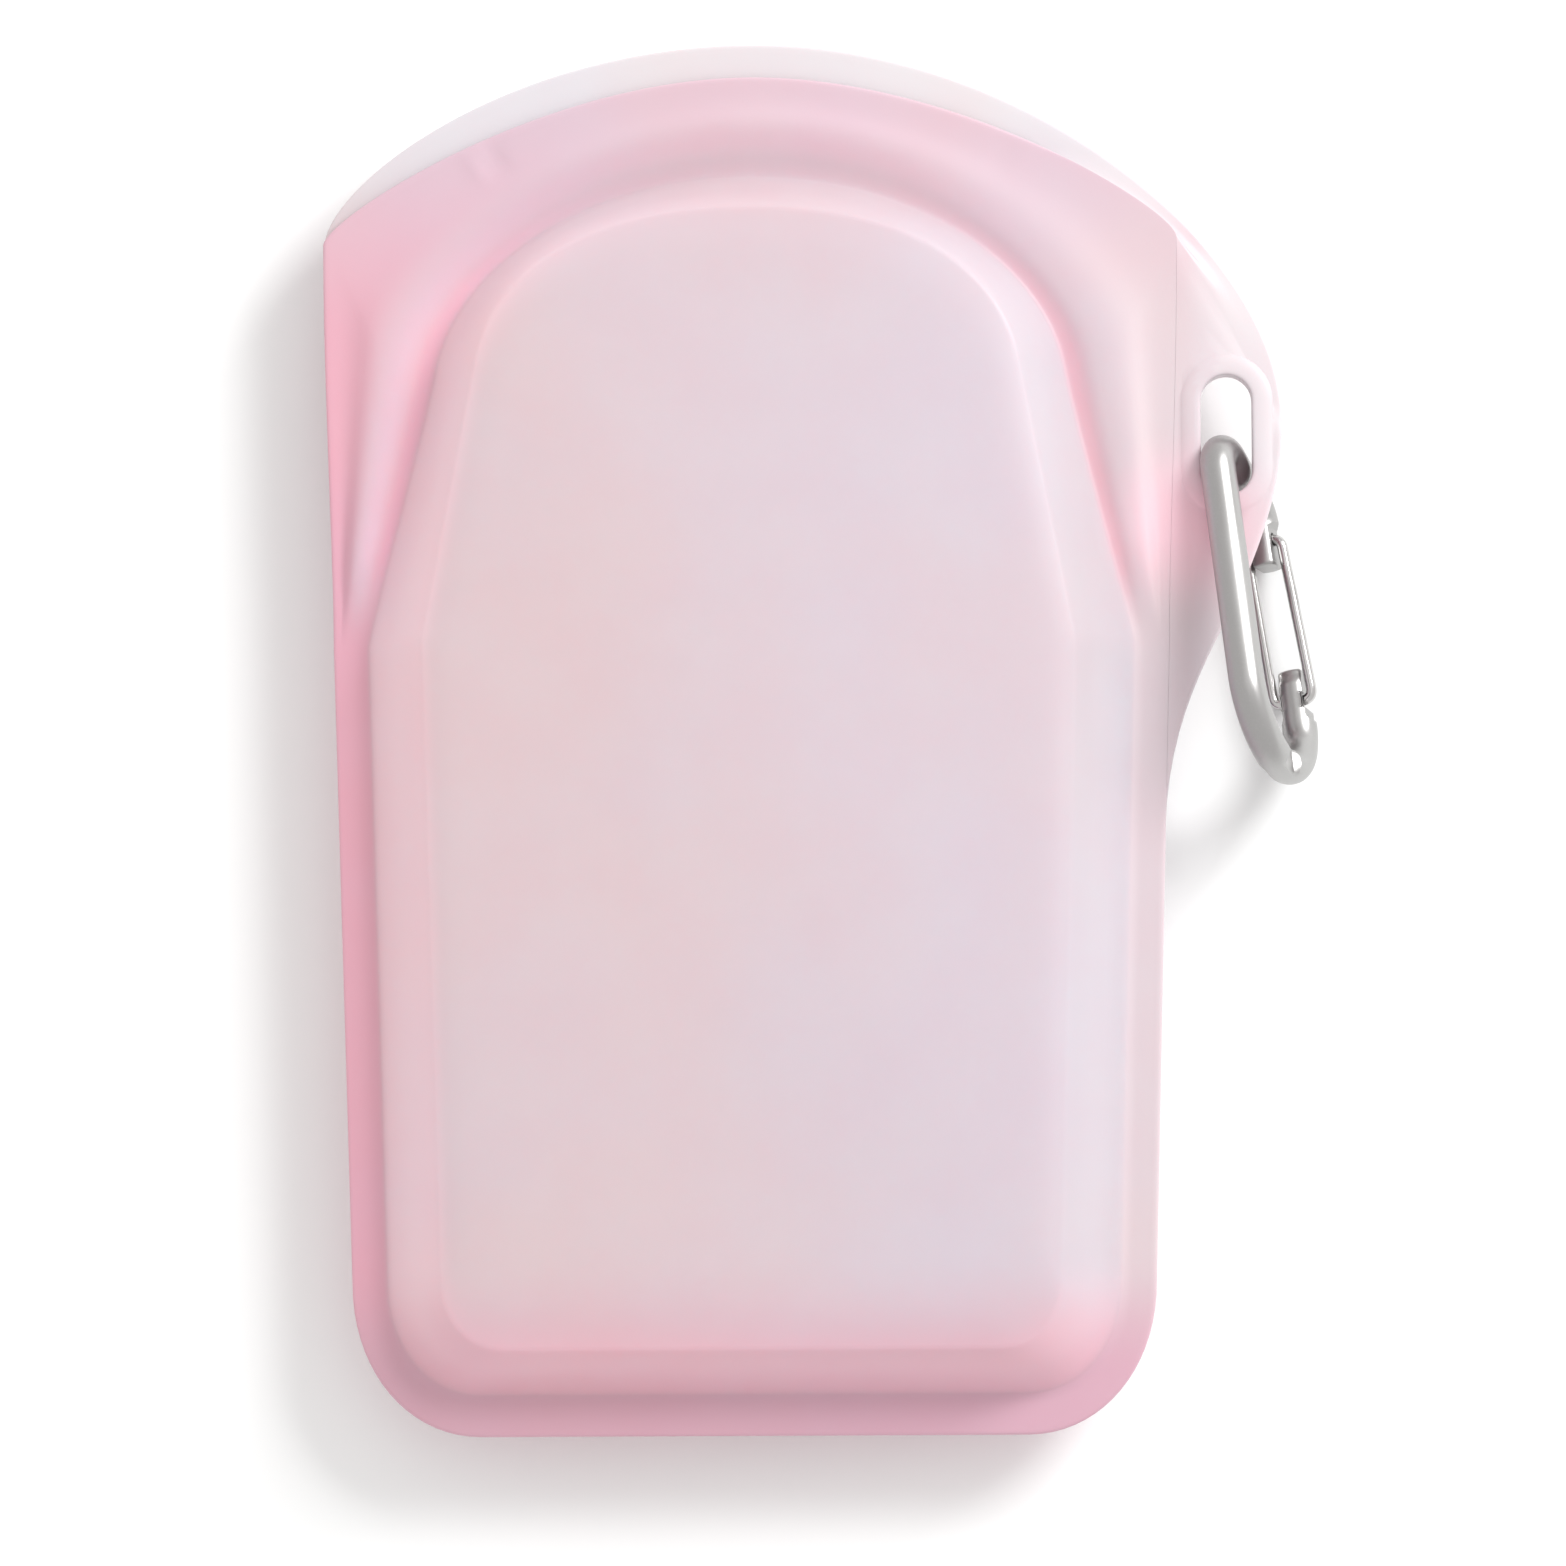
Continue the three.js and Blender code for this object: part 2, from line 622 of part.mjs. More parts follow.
// A route through the points with its corners rounded.
function cornerRoute(points, radius) {
  const route = new THREE.CurvePath();
  let from = points[0];
  for (let i = 1; i < points.length - 1; i += 1) {
    const corner = points[i];
    const begin = corner.clone().add(points[i - 1].clone().sub(corner).setLength(radius));
    const end = corner.clone().add(points[i + 1].clone().sub(corner).setLength(radius));
    route.add(new THREE.LineCurve3(from, begin));
    route.add(new THREE.QuadraticBezierCurve3(begin, corner, end));
    from = end;
  }
  route.add(new THREE.LineCurve3(from, points.at(-1)));
  return route;
}

function carabinerGate() {
  const hingeSide = hingeThickness / 2 + legGapHinge + wireDiameter / 2;
  const noseSide = noseThickness / 2 + legGapNose + wireDiameter / 2;
  const tipSide = splitGap;
  const left = pivotDown + pivotOffset;
  const right = pivotDown - pivotOffset;
  const points = [
    local(-tipSide, hingeAcross, left),
    local(-hingeSide, hingeAcross, left),
    local(-noseSide, barAcross, barDown),
    local(noseSide, barAcross, barDown),
    local(hingeSide, hingeAcross, right),
    local(tipSide, hingeAcross, right),
  ];
  const wire = roundBar(cornerRoute(points, wireBend), wireDiameter, wireSides, wireSteps);
  return namedMesh('carabiner_gate', wire, brightWire);
}

// The rod's top bend wraps the slot's lower end; the gate side lies level, close to the table.
function carabiner() {
  const group = new THREE.Group();
  group.rotation.order = 'ZXY';
  group.rotation.set(
    THREE.MathUtils.degToRad(-carabinerPitch),
    THREE.MathUtils.degToRad(-carabinerLean),
    THREE.MathUtils.degToRad(carabinerYaw),
  );
  const inSlot = local(0, bendAcrossInSlot, 0).applyEuler(group.rotation);
  group.position.set(slotCentreX - inSlot.x, spineTopY, spineHeight);
  group.add(carabinerBody(), carabinerGate());
  return group;
}

const group = new THREE.Group();
group.add(...frontPieces(), backPanel(), earFrontLayer(), ...slotRims());
group.add(perimeterBond(), sealTongue(), sealChannel(), carabiner());

export default group;
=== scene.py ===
"""A reusable silicone food bag with its mini carabiner: fine surfaces, finishes, light and camera.

Everything is in metres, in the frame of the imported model. The bag lies on its back with +Y towards
its mouth, +X towards its ear and +Z up.
"""

import json
import logging
import math
from collections.abc import Callable, Sequence
from dataclasses import dataclass, field
from enum import Enum

import bmesh
import bpy
import numpy as np
from mathutils import Matrix, Vector
from mathutils.kdtree import KDTree


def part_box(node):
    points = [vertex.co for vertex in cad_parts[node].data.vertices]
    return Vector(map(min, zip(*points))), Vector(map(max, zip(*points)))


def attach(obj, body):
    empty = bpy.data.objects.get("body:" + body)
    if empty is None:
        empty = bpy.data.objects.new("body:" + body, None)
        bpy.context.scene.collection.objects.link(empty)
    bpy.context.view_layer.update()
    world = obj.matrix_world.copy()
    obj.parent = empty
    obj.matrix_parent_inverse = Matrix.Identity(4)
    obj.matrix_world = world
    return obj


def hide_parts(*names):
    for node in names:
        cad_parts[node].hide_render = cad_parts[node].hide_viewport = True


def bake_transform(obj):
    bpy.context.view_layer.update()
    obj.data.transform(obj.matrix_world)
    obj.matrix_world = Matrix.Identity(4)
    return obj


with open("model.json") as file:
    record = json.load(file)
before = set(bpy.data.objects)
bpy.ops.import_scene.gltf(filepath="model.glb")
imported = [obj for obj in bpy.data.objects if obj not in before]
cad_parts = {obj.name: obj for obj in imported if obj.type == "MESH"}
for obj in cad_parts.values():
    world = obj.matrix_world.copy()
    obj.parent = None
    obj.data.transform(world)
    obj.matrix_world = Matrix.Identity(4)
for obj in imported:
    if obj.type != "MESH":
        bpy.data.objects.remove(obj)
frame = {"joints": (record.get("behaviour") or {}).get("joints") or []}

LOG = logging.getLogger("silicone_bag")
MM = 0.001
SAME_PLACE = 1e-7  # points nearer than this are one
REST_PLACE = "rest_place"  # the mesh attribute that holds each vertex's place when the bag is closed

CREASE_ANGLE = 55.0  # degrees; silicone edges that turn by more than this stay crisp

Colour = tuple[float, float, float]
Line = np.ndarray  # points of a line, one row each
Piece = bpy.types.Object
Material = bpy.types.Material
Tree = bpy.types.NodeTree
Node = bpy.types.Node
Socket = bpy.types.NodeSocket
Input = float | Sequence[float] | Socket
Fill = Callable[[Tree, Socket, Socket, Node], list[Socket]]  # adds the nodes inside a shader node group


class Face(Enum):
    """Which way a layer of the bag looks, as the sign of its height above the mid-plane."""

    FRONT = 1
    BACK = -1


class Zone(Enum):
    """A stretch of the silicone with a tint of its own, which holds painted light and shade as well as the
    silicone's thickness.
    """

    FLAT = 0
    WALL = 1
    MARGIN = 2
    CREST = 3
    VALLEY = 4
    LIP = 5

    @property
    def weights(self) -> np.ndarray:
        """1 for this zone and 0 for the others."""
        return np.eye(len(Zone))[self.value]

    @property
    def attribute(self) -> str:
        """The name of the mesh attribute that holds how much each vertex belongs to the zone."""
        return f"zone_{self.name.lower()}"


# ---- Curves ----


def bezier(points: Sequence[Sequence[float]], count: int) -> Line:
    """Samples a Bezier curve of any degree, without its last point.

    Args:
        points: The control points.
        count: How many samples to take.

    Returns:
        The samples, one row each.
    """
    t = np.linspace(0, 1, count, endpoint=False)[:, None]
    level = [np.tile(np.array(p, float), (count, 1)) for p in points]
    while len(level) > 1:
        level = [a * (1 - t) + b * t for a, b in zip(level, level[1:])]
    return level[0]


def smooth_step(value: np.ndarray, start: float, end: float) -> np.ndarray:
    """Rises smoothly from 0 at start to 1 at end.

    Args:
        value: Where to read the step.
        start: Where it leaves 0.
        end: Where it reaches 1.

    Returns:
        The step at each value.
    """
    t = np.clip((np.asarray(value, float) - start) / (end - start), 0, 1)
    return t * t * (3 - 2 * t)


def bump(value: np.ndarray, centre: float, half_width: float) -> np.ndarray:
    """A smooth bump that is 1 at its centre and 0 from half_width on."""
    return smooth_step(-np.abs(np.asarray(value, float) - centre), -half_width, 0)


def plateau_bump(value: np.ndarray, centre: float, half_width: float, ramp: float) -> np.ndarray:
    """1 within half_width of the centre, with a short smooth ramp outside it."""
    return 1 - smooth_step(np.abs(np.asarray(value, float) - centre), half_width, half_width + ramp)


def ease_rows(control: np.ndarray, steps: int, wrap: bool = False) -> np.ndarray:
    """Runs a cubic B-spline through rows of control points, which rounds every corner between them.

    Args:
        control: Rows of points, with the row number first.
        steps: How many rows to make for each control row.
        wrap: True where the last row joins the first.

    Returns:
        The finer rows.
    """
    if wrap:
        padded = np.concatenate([control[-1:], control, control[:2]])
    else:
        padded = np.concatenate([control[:1], control[:1], control, control[-1:], control[-1:]])
    rows = []
    for i in range(len(padded) - 3):
        for t in np.arange(steps) / steps:
            weights = np.array([(1 - t) ** 3, 3 * t**3 - 6 * t**2 + 4,
                                -3 * t**3 + 3 * t**2 + 3 * t + 1, t**3]) / 6
            rows.append(np.tensordot(weights, padded[i:i + 4], axes=1))
    if not wrap:
        rows.append(control[-1])
    return np.array(rows)


def inset(ring: Line, distance: float) -> Line:
    """Moves each point of a counter-clockwise ring inwards, square to the ring.

    Args:
        ring: The ring's points.
        distance: How far to move them; a negative distance moves them outwards.

    Returns:
        The moved ring.
    """
    along = np.roll(ring, -1, axis=0) - np.roll(ring, 1, axis=0)
    along /= np.linalg.norm(along, axis=1)[:, None]
    return ring + distance * np.stack([-along[:, 1], along[:, 0]], axis=1)


def between(a: np.ndarray, b: np.ndarray, t: float | np.ndarray) -> np.ndarray:
    """The line that lies the share t of the way from a to b."""
    return a * (1 - t) + b * t


def at_height(ring: Line, height: float | np.ndarray) -> np.ndarray:
    """The points of a flat line lifted to a height, or each to its own."""
    return np.column_stack([ring, np.broadcast_to(height, len(ring))])


def whole_turn(count: int) -> np.ndarray:
    """Evenly spaced angles round a full turn."""
    return np.linspace(0, 2 * math.pi, count, endpoint=False)


# ---- Meshes ----


def mesh_object(name: str, vertices: np.ndarray, faces: list[tuple[int, ...]]) -> Piece:
    """Makes a smooth-shaded object from vertices and faces, with its faces pointing out.

    Args:
        name: The piece's name.
        vertices: One row for each vertex.
        faces: The vertex numbers of each face.

    Returns:
        The object, linked to the scene.
    """
    mesh = bpy.data.meshes.new(name)
    mesh.from_pydata(vertices.tolist(), [], faces)
    work = bmesh.new()
    work.from_mesh(mesh)
    bmesh.ops.remove_doubles(work, verts=work.verts, dist=SAME_PLACE)
    bmesh.ops.recalc_face_normals(work, faces=work.faces)
    work.to_mesh(mesh)
    work.free()
    mesh.shade_smooth()
    piece = bpy.data.objects.new(name, mesh)
    bpy.context.scene.collection.objects.link(piece)
    return piece


def lofted(name: str, grid: np.ndarray, closed: bool = False) -> Piece:
    """Makes a closed skin over rows of points, where each row is a closed loop.

    Args:
        name: The piece's name.
        grid: Points as rows, columns and coordinates.
        closed: True where the last row joins the first; otherwise both ends are capped.

    Returns:
        The object.
    """
    rows, columns, _ = grid.shape
    vertices = grid.reshape(-1, 3)
    faces = []
    for row in range(rows if closed else rows - 1):
        below = row * columns
        above = ((row + 1) % rows) * columns
        for i in range(columns):
            j = (i + 1) % columns
            faces.append((below + i, below + j, above + j, above + i))
    if not closed:
        middles = np.array([grid[0].mean(axis=0), grid[-1].mean(axis=0)])
        vertices = np.concatenate([vertices, middles])
        first = rows * columns
        last_row = first - columns
        for i in range(columns):
            j = (i + 1) % columns
            faces.append((first, j, i))
            faces.append((first + 1, last_row + i, last_row + j))
    return mesh_object(name, vertices, faces)


def swept(name: str, path: Line, section: Callable[[int, np.ndarray, np.ndarray], np.ndarray],
          across: Line, end_round: float, end_steps: int = 4) -> Piece:
    """Sweeps a section along a path and rounds both of its ends.

    Args:
        name: The piece's name.
        path: The points of the path.
        section: Gives the section's offsets from the path, for a path point's number and two
            directions that are square to the path.
        across: For each path point, a direction that the section's first axis follows.
        end_round: The radius of the rounding at each end.
        end_steps: How many rows make each rounding.

    Returns:
        The object.
    """
    tangent = np.gradient(path, axis=0)
    tangent /= np.linalg.norm(tangent, axis=1)[:, None]
    second = np.cross(tangent, across)
    second /= np.linalg.norm(second, axis=1)[:, None]
    first = np.cross(second, tangent)
    rows = [path[i] + section(i, first[i], second[i]) for i in range(len(path))]

    def cap(end: int, outwards: float) -> list[np.ndarray]:
        """Shrinking rows that round one end over."""
        made = []
        for turn in np.linspace(0, math.pi / 2, end_steps + 1)[1:]:
            offset = rows[end] - path[end]
            reach = np.linalg.norm(offset, axis=1).max()
            shrink = 1 - end_round / reach * (1 - math.cos(turn))
            forward = outwards * end_round * math.sin(turn)
            made.append(path[end] + offset * shrink + forward * tangent[end])
        return made

    start = cap(0, -1.0)[::-1]
    return lofted(name, np.array(start + rows + cap(-1, 1.0)))


def cut_or_join(piece: Piece, other: Piece, operation: str) -> None:
    """Cuts a closed mesh out of another or joins it on, and removes it.

    Args:
        piece: The mesh that is changed.
        other: The mesh that is cut out or joined on.
        operation: DIFFERENCE or UNION.
    """
    modifier = piece.modifiers.new("cut_or_join", "BOOLEAN")
    modifier.operation = operation
    modifier.solver = "EXACT"
    modifier.object = other
    apply_modifiers(piece)
    bpy.data.objects.remove(other)


def apply_modifiers(piece: Piece) -> None:
    """Makes the result of a piece's modifiers its own mesh."""
    evaluated = piece.evaluated_get(bpy.context.evaluated_depsgraph_get())
    made = bpy.data.meshes.new_from_object(evaluated)
    piece.modifiers.clear()
    old, piece.data = piece.data, made
    bpy.data.meshes.remove(old)


def mark_sharp(piece: Piece, degrees: float) -> None:
    """Keeps the shading crisp at edges that turn by more than an angle."""
    work = bmesh.new()
    work.from_mesh(piece.data)
    for edge in work.edges:
        edge.smooth = not edge.is_manifold or edge.calc_face_angle(0) < math.radians(degrees)
    for face in work.faces:
        face.smooth = True
    work.to_mesh(piece.data)
    work.free()


def keep_rest_place(piece: Piece) -> None:
    """Stores where each vertex lies when the bag is closed, so that its finish doesn't slide."""
    mesh = piece.data
    places = np.zeros(len(mesh.vertices) * 3, np.float32)
    mesh.vertices.foreach_get("co", places)
    attribute = mesh.attributes.new(REST_PLACE, "FLOAT_VECTOR", "POINT")
    attribute.data.foreach_set("vector", places)


def paint_zones(piece: Piece, points: np.ndarray, zones: np.ndarray) -> None:
    """Gives each vertex of a piece the zone weights of the nearest known point.

    Args:
        piece: The piece.
        points: Places whose zone weights are known, one row each.
        zones: The weights at those places.
    """
    tree = KDTree(len(points))
    for i, point in enumerate(points):
        tree.insert(point, i)
    tree.balance()
    mesh = piece.data
    nearest = [tree.find(vertex.co)[1] for vertex in mesh.vertices]
    for zone in Zone:
        attribute = mesh.attributes.new(zone.attribute, "FLOAT", "POINT")
        attribute.data.foreach_set("value", zones[nearest, zone.value].astype(np.float32))


# ---- Shader node groups ----


def add_node(tree: Tree, kind: str, inputs: dict[str | int, Input] | None = None,
             **settings: object) -> Node:
    """Adds a node to a tree, sets its properties and sets or links its inputs.

    Args:
        tree: The tree that gets the node.
        kind: The node's type.
        inputs: A value or another node's output for each named or numbered input.
        **settings: The node's own properties.

    Returns:
        The node.
    """
    made = tree.nodes.new(kind)
    for key, value in settings.items():
        setattr(made, key, value)
    for key, value in (inputs or {}).items():
        socket = made.inputs[key]
        if isinstance(value, Socket):
            tree.links.new(value, socket)
        else:
            socket.default_value = value
    return made


def maths(tree: Tree, operation: str, a: Input, b: Input = 0.0) -> Socket:
    """The result of one arithmetic step on two values."""
    return add_node(tree, "ShaderNodeMath", {0: a, 1: b}, operation=operation).outputs[0]


def remapped(tree: Tree, value: Input, low: Input, high: Input,
             to_low: Input = 0.0, to_high: Input = 1.0) -> Socket:
    """A value eased from one range into another."""
    inputs = {"Value": value, "From Min": low, "From Max": high, "To Min": to_low, "To Max": to_high}
    return add_node(tree, "ShaderNodeMapRange", inputs, interpolation_type="SMOOTHSTEP").outputs[0]


def mixed(tree: Tree, share: Input, a: Input, b: Input) -> Socket:
    """Two colours mixed by a share."""
    mix = add_node(tree, "ShaderNodeMix", {0: share}, data_type="RGBA")
    for socket, value in ((mix.inputs[6], a), (mix.inputs[7], b)):
        if isinstance(value, Socket):
            tree.links.new(value, socket)
        else:
            socket.default_value = (*value, 1.0)
    return mix.outputs[2]


@dataclass
class SurfaceEffects:
    """The shader node groups that the finishes share, each built the first time it is asked for."""

    made: dict[str, Tree] = field(default_factory=dict)

    def _group(self, name: str, outputs: Sequence[str], fill: Fill, more_inputs: Sequence[str] = ()) -> Tree:
        """Builds a node group once, with a place and a size among its inputs.

        Args:
            name: The group's name.
            outputs: The names of its outputs.
            fill: Adds the nodes, given the tree, the place, how many features there are to a metre
                and the input node, and returns what each output gives.
            more_inputs: The names of its other inputs.

        Returns:
            The group.
        """
        if name not in self.made:
            tree = bpy.data.node_groups.new(name, "ShaderNodeTree")
            tree.interface.new_socket(name="Place", in_out="INPUT", socket_type="NodeSocketVector")
            for title in ("Size", *more_inputs):
                tree.interface.new_socket(name=title, in_out="INPUT", socket_type="NodeSocketFloat")
            for title in outputs:
                tree.interface.new_socket(name=title, in_out="OUTPUT", socket_type="NodeSocketFloat")
            start = tree.nodes.new("NodeGroupInput")
            end = tree.nodes.new("NodeGroupOutput")
            rate = maths(tree, "DIVIDE", 1.0, start.outputs["Size"])
            for title, result in zip(outputs, fill(tree, start.outputs["Place"], rate, start)):
                tree.links.new(result, end.inputs[title])
            self.made[name] = tree
        return self.made[name]

    def cloud(self) -> Tree:
        """Broad soft patches, as in a moulded wall whose thickness varies a little."""

        def fill(tree: Tree, place: Socket, rate: Socket, _: Node) -> list[Socket]:
            """Soft noise, eased to the full range."""
            noise = add_node(tree, "ShaderNodeTexNoise", {
                "Vector": place, "Scale": rate, "Detail": 2.0, "Roughness": 0.45,
            })
            return [remapped(tree, noise.outputs["Fac"], 0.3, 0.7)]

        return self._group("soft_cloud", ["Cloud"], fill)

    def grain(self) -> Tree:
        """Fine grain: the height of a matte or blasted surface, and specks of it."""

        def fill(tree: Tree, place: Socket, rate: Socket, start: Node) -> list[Socket]:
            """Fine noise over small cells."""
            noise = add_node(tree, "ShaderNodeTexNoise", {
                "Vector": place, "Scale": rate, "Detail": 3.0, "Roughness": 0.6,
            })
            cells = add_node(tree, "ShaderNodeTexVoronoi", {"Vector": place, "Scale": rate})
            pits = maths(tree, "MULTIPLY", cells.outputs["Distance"], start.outputs["Pits"])
            specks = remapped(tree, noise.outputs["Fac"], 0.55, 0.75)
            return [maths(tree, "ADD", noise.outputs["Fac"], pits), specks]

        return self._group("fine_grain", ["Height", "Specks"], fill, ["Pits"])

    def handling(self) -> Tree:
        """Faint smears that hands leave, long in one direction."""

        def fill(tree: Tree, place: Socket, rate: Socket, _: Node) -> list[Socket]:
            """Noise that is stretched along the piece."""
            stretch = add_node(tree, "ShaderNodeMapping", {
                "Vector": place, "Rotation": (0.0, 0.0, 0.5), "Scale": (1.0, 0.3, 1.0),
            })
            noise = add_node(tree, "ShaderNodeTexNoise", {
                "Vector": stretch.outputs[0], "Scale": rate, "Detail": 4.0, "Roughness": 0.55,
                "Distortion": 0.6,
            })
            return [remapped(tree, noise.outputs["Fac"], 0.5, 0.72)]

        return self._group("handling_smears", ["Smears"], fill)


EFFECTS = SurfaceEffects()


def new_material(name: str) -> tuple[Material, Tree, Node]:
    """Starts a material with a Principled surface.

    Args:
        name: The material's name.

    Returns:
        The material, its node tree and its Principled node.
    """
    material = bpy.data.materials.new(name)
    material.use_nodes = True
    tree = material.node_tree
    tree.nodes.clear()
    surface = tree.nodes.new("ShaderNodeBsdfPrincipled")
    output = tree.nodes.new("ShaderNodeOutputMaterial")
    tree.links.new(surface.outputs[0], output.inputs[0])
    return material, tree, surface


def effect(tree: Tree, group: Tree, size: float, **inputs: Input) -> dict[str, Socket]:
    """Places a shared effect in a material, with its own values.

    Args:
        tree: The material's tree.
        group: The effect.
        size: How far apart its features lie.
        **inputs: Its other inputs.

    Returns:
        Its outputs.
    """
    inputs = {"Place": attribute_of(tree, REST_PLACE, "Vector"), "Size": size, **inputs}
    return add_node(tree, "ShaderNodeGroup", inputs, node_tree=group).outputs


def attribute_of(tree: Tree, name: str, output: str = "Fac") -> Socket:
    """A mesh attribute's value at each place."""
    return add_node(tree, "ShaderNodeAttribute", attribute_name=name).outputs[output]


def set_inputs(surface: Node, inputs: dict[str, Input]) -> None:
    """Sets or links the named inputs of a material's Principled node.

    Args:
        surface: The node.
        inputs: A value or another node's output for each input.
    """
    for name, value in inputs.items():
        if isinstance(value, Socket):
            surface.id_data.links.new(value, surface.inputs[name])
        else:
            surface.inputs[name].default_value = value


def relief(tree: Tree, height: Socket, strength: float, depth: float) -> Socket:
    """The normal of a surface with a fine relief."""
    inputs = {"Height": height, "Strength": strength, "Distance": depth}
    return add_node(tree, "ShaderNodeBump", inputs).outputs[0]


# ---- Finishes ----


@dataclass(frozen=True)
class Tint:
    """A silicone tint with painted light and shade. Its colours for the plain side, the ear's side, the mouth
    and the base stand in for how the key light from the ear's side and the mouth falls across the bag, mostly
    deeper pink where the plain side and the base lie in shade.
    """

    plain_side: Colour
    ear_side: Colour
    mouth: Colour
    base: Colour

    def socket(self, tree: Tree, shade_gradient: "ShadeGradient") -> Socket:
        """The tint at each place, with its painted light and shade."""
        across = mixed(tree, shade_gradient.across, self.plain_side, self.ear_side)
        up = mixed(tree, shade_gradient.up, across, self.mouth)
        return mixed(tree, shade_gradient.down, up, self.base)


class ShadeGradient:
    """How far each place lies towards the ear's side, the mouth and the base of the bag, which sets the
    painted light and shade of its tint.
    """

    across_range = (-38 * MM, 38 * MM)
    up_range = (56 * MM, 94 * MM)
    down_range = (-68 * MM, -85 * MM)

    def __init__(self, tree: Tree, place: Socket) -> None:
        """Adds the nodes that read the place at rest.

        Args:
            tree: The material's tree.
            place: The place at rest.
        """
        axes = add_node(tree, "ShaderNodeSeparateXYZ", {0: place}).outputs
        self.across = remapped(tree, axes["X"], *self.across_range)
        self.up = remapped(tree, axes["Y"], *self.up_range)
        self.down = remapped(tree, axes["Y"], *self.down_range)


@dataclass(frozen=True)
class SiliconeFinish:
    """Translucent matte silicone: milky where a thin wall stands clear, deeper where it is solid, with
    painted light and shade in its zone tints.
    """

    name: str
    tints: dict[Zone, Tint]
    roughness: float = 0.44
    translucency: float = 0.5
    edge_translucency: float = 0.08
    scatter_shares: Colour = (1.0, 0.55, 0.6)
    scatter_depth: float = 2.2 * MM
    cloud_size: float = 34 * MM
    patch_size: float = 13.6 * MM
    grain_size: float = 0.35 * MM
    smear_size: float = 26 * MM
    carabiner_shadow_place: tuple[float, float, float] = (62.5 * MM, 34 * MM, 14 * MM)  # centre of a painted shadow: the carabiner's shade on the ear, painted a deeper pink
    carabiner_shadow_reach: float = 15 * MM
    carabiner_shadow_tint: Colour = (0.90, 0.56, 0.64)

    def _base(self, tree: Tree) -> Socket:
        """The tints of the zones with their painted light and shade, mixed by how much each place belongs to
        them, and a painted pink shadow of the carabiner on the ear.

        Args:
            tree: The material's tree.

        Returns:
            The colour.
        """
        place = attribute_of(tree, REST_PLACE, "Vector")
        shade_gradient = ShadeGradient(tree, place)
        colour = self.tints[Zone.FLAT].socket(tree, shade_gradient)
        for zone, tint in self.tints.items():
            if zone is not Zone.FLAT:
                colour = mixed(tree, attribute_of(tree, zone.attribute), colour, tint.socket(tree, shade_gradient))
        # Painted shadow: the ear is painted a deeper pink round the place where the carabiner shades it.
        away = add_node(tree, "ShaderNodeVectorMath", {0: place, 1: self.carabiner_shadow_place}, operation="DISTANCE")
        shadowed = remapped(tree, away.outputs["Value"], self.carabiner_shadow_reach, 0.0)
        return mixed(tree, shadowed, colour, self.carabiner_shadow_tint)

    def material(self) -> Material:
        """Builds the material.

        Returns:
            The material.
        """
        material, tree, surface = new_material(self.name)
        cloud = effect(tree, EFFECTS.cloud(), self.cloud_size)["Cloud"]
        patch = effect(tree, EFFECTS.cloud(), self.patch_size)["Cloud"]
        grain = effect(tree, EFFECTS.grain(), self.grain_size, Pits=0.3)
        smears = effect(tree, EFFECTS.handling(), self.smear_size)["Smears"]
        base = self._base(tree)
        warmth = mixed(tree, cloud, (1.01, 0.99, 0.98), (0.985, 1.0, 1.015))
        depth = mixed(tree, patch, (1.0, 0.975, 0.98), (1.0, 1.0, 1.0))
        for layer in (warmth, depth):
            blend = add_node(tree, "ShaderNodeMix", {0: 1.0, 6: base, 7: layer}, data_type="RGBA",
                             blend_type="MULTIPLY")
            base = blend.outputs[2]
        rough = remapped(tree, cloud, 0.0, 1.0, self.roughness - 0.04, self.roughness + 0.05)
        margin, lip = (attribute_of(tree, zone.attribute) for zone in (Zone.MARGIN, Zone.LIP))
        solid = maths(tree, "ADD", margin, lip)
        set_inputs(surface, {
            "Base Color": base,
            "Roughness": maths(tree, "ADD", rough, maths(tree, "MULTIPLY", smears, 0.07)),
            "Normal": relief(tree, grain["Height"], 0.25, 0.02 * MM),
            "Subsurface Weight": remapped(tree, solid, 0.0, 1.0, self.translucency, self.edge_translucency),
            "Subsurface Radius": self.scatter_shares,
            "Subsurface Scale": self.scatter_depth,
            "IOR": 1.41,
            "Coat Weight": 0.15,
            "Coat Roughness": 0.25,
            "Sheen Weight": 0.1,
            "Sheen Roughness": 0.5,
        })
        return material


@dataclass(frozen=True)
class SatinMetal:
    """Bead-blasted aluminium with a fine grain and paler rubbed spots."""

    name: str
    colour: Colour = (0.44, 0.435, 0.43)
    rubbed: Colour = (0.64, 0.635, 0.63)
    roughness: float = 0.34
    grain_size: float = 0.12 * MM
    smear_size: float = 6 * MM

    def material(self) -> Material:
        """Builds the material.

        Returns:
            The material.
        """
        material, tree, surface = new_material(self.name)
        grain = effect(tree, EFFECTS.grain(), self.grain_size, Pits=0.8)
        smears = effect(tree, EFFECTS.handling(), self.smear_size)["Smears"]
        cloud = effect(tree, EFFECTS.cloud(), 2 * self.smear_size)["Cloud"]
        rough = remapped(tree, cloud, 0.0, 1.0, self.roughness - 0.04, self.roughness + 0.04)
        rubbing = maths(tree, "MULTIPLY", grain["Specks"], 0.5)
        set_inputs(surface, {
            "Base Color": mixed(tree, rubbing, self.colour, self.rubbed),
            "Roughness": maths(tree, "ADD", rough, maths(tree, "MULTIPLY", smears, 0.05)),
            "Normal": relief(tree, grain["Height"], 0.35, 0.012 * MM),
            "Metallic": 1.0,
        })
        return material


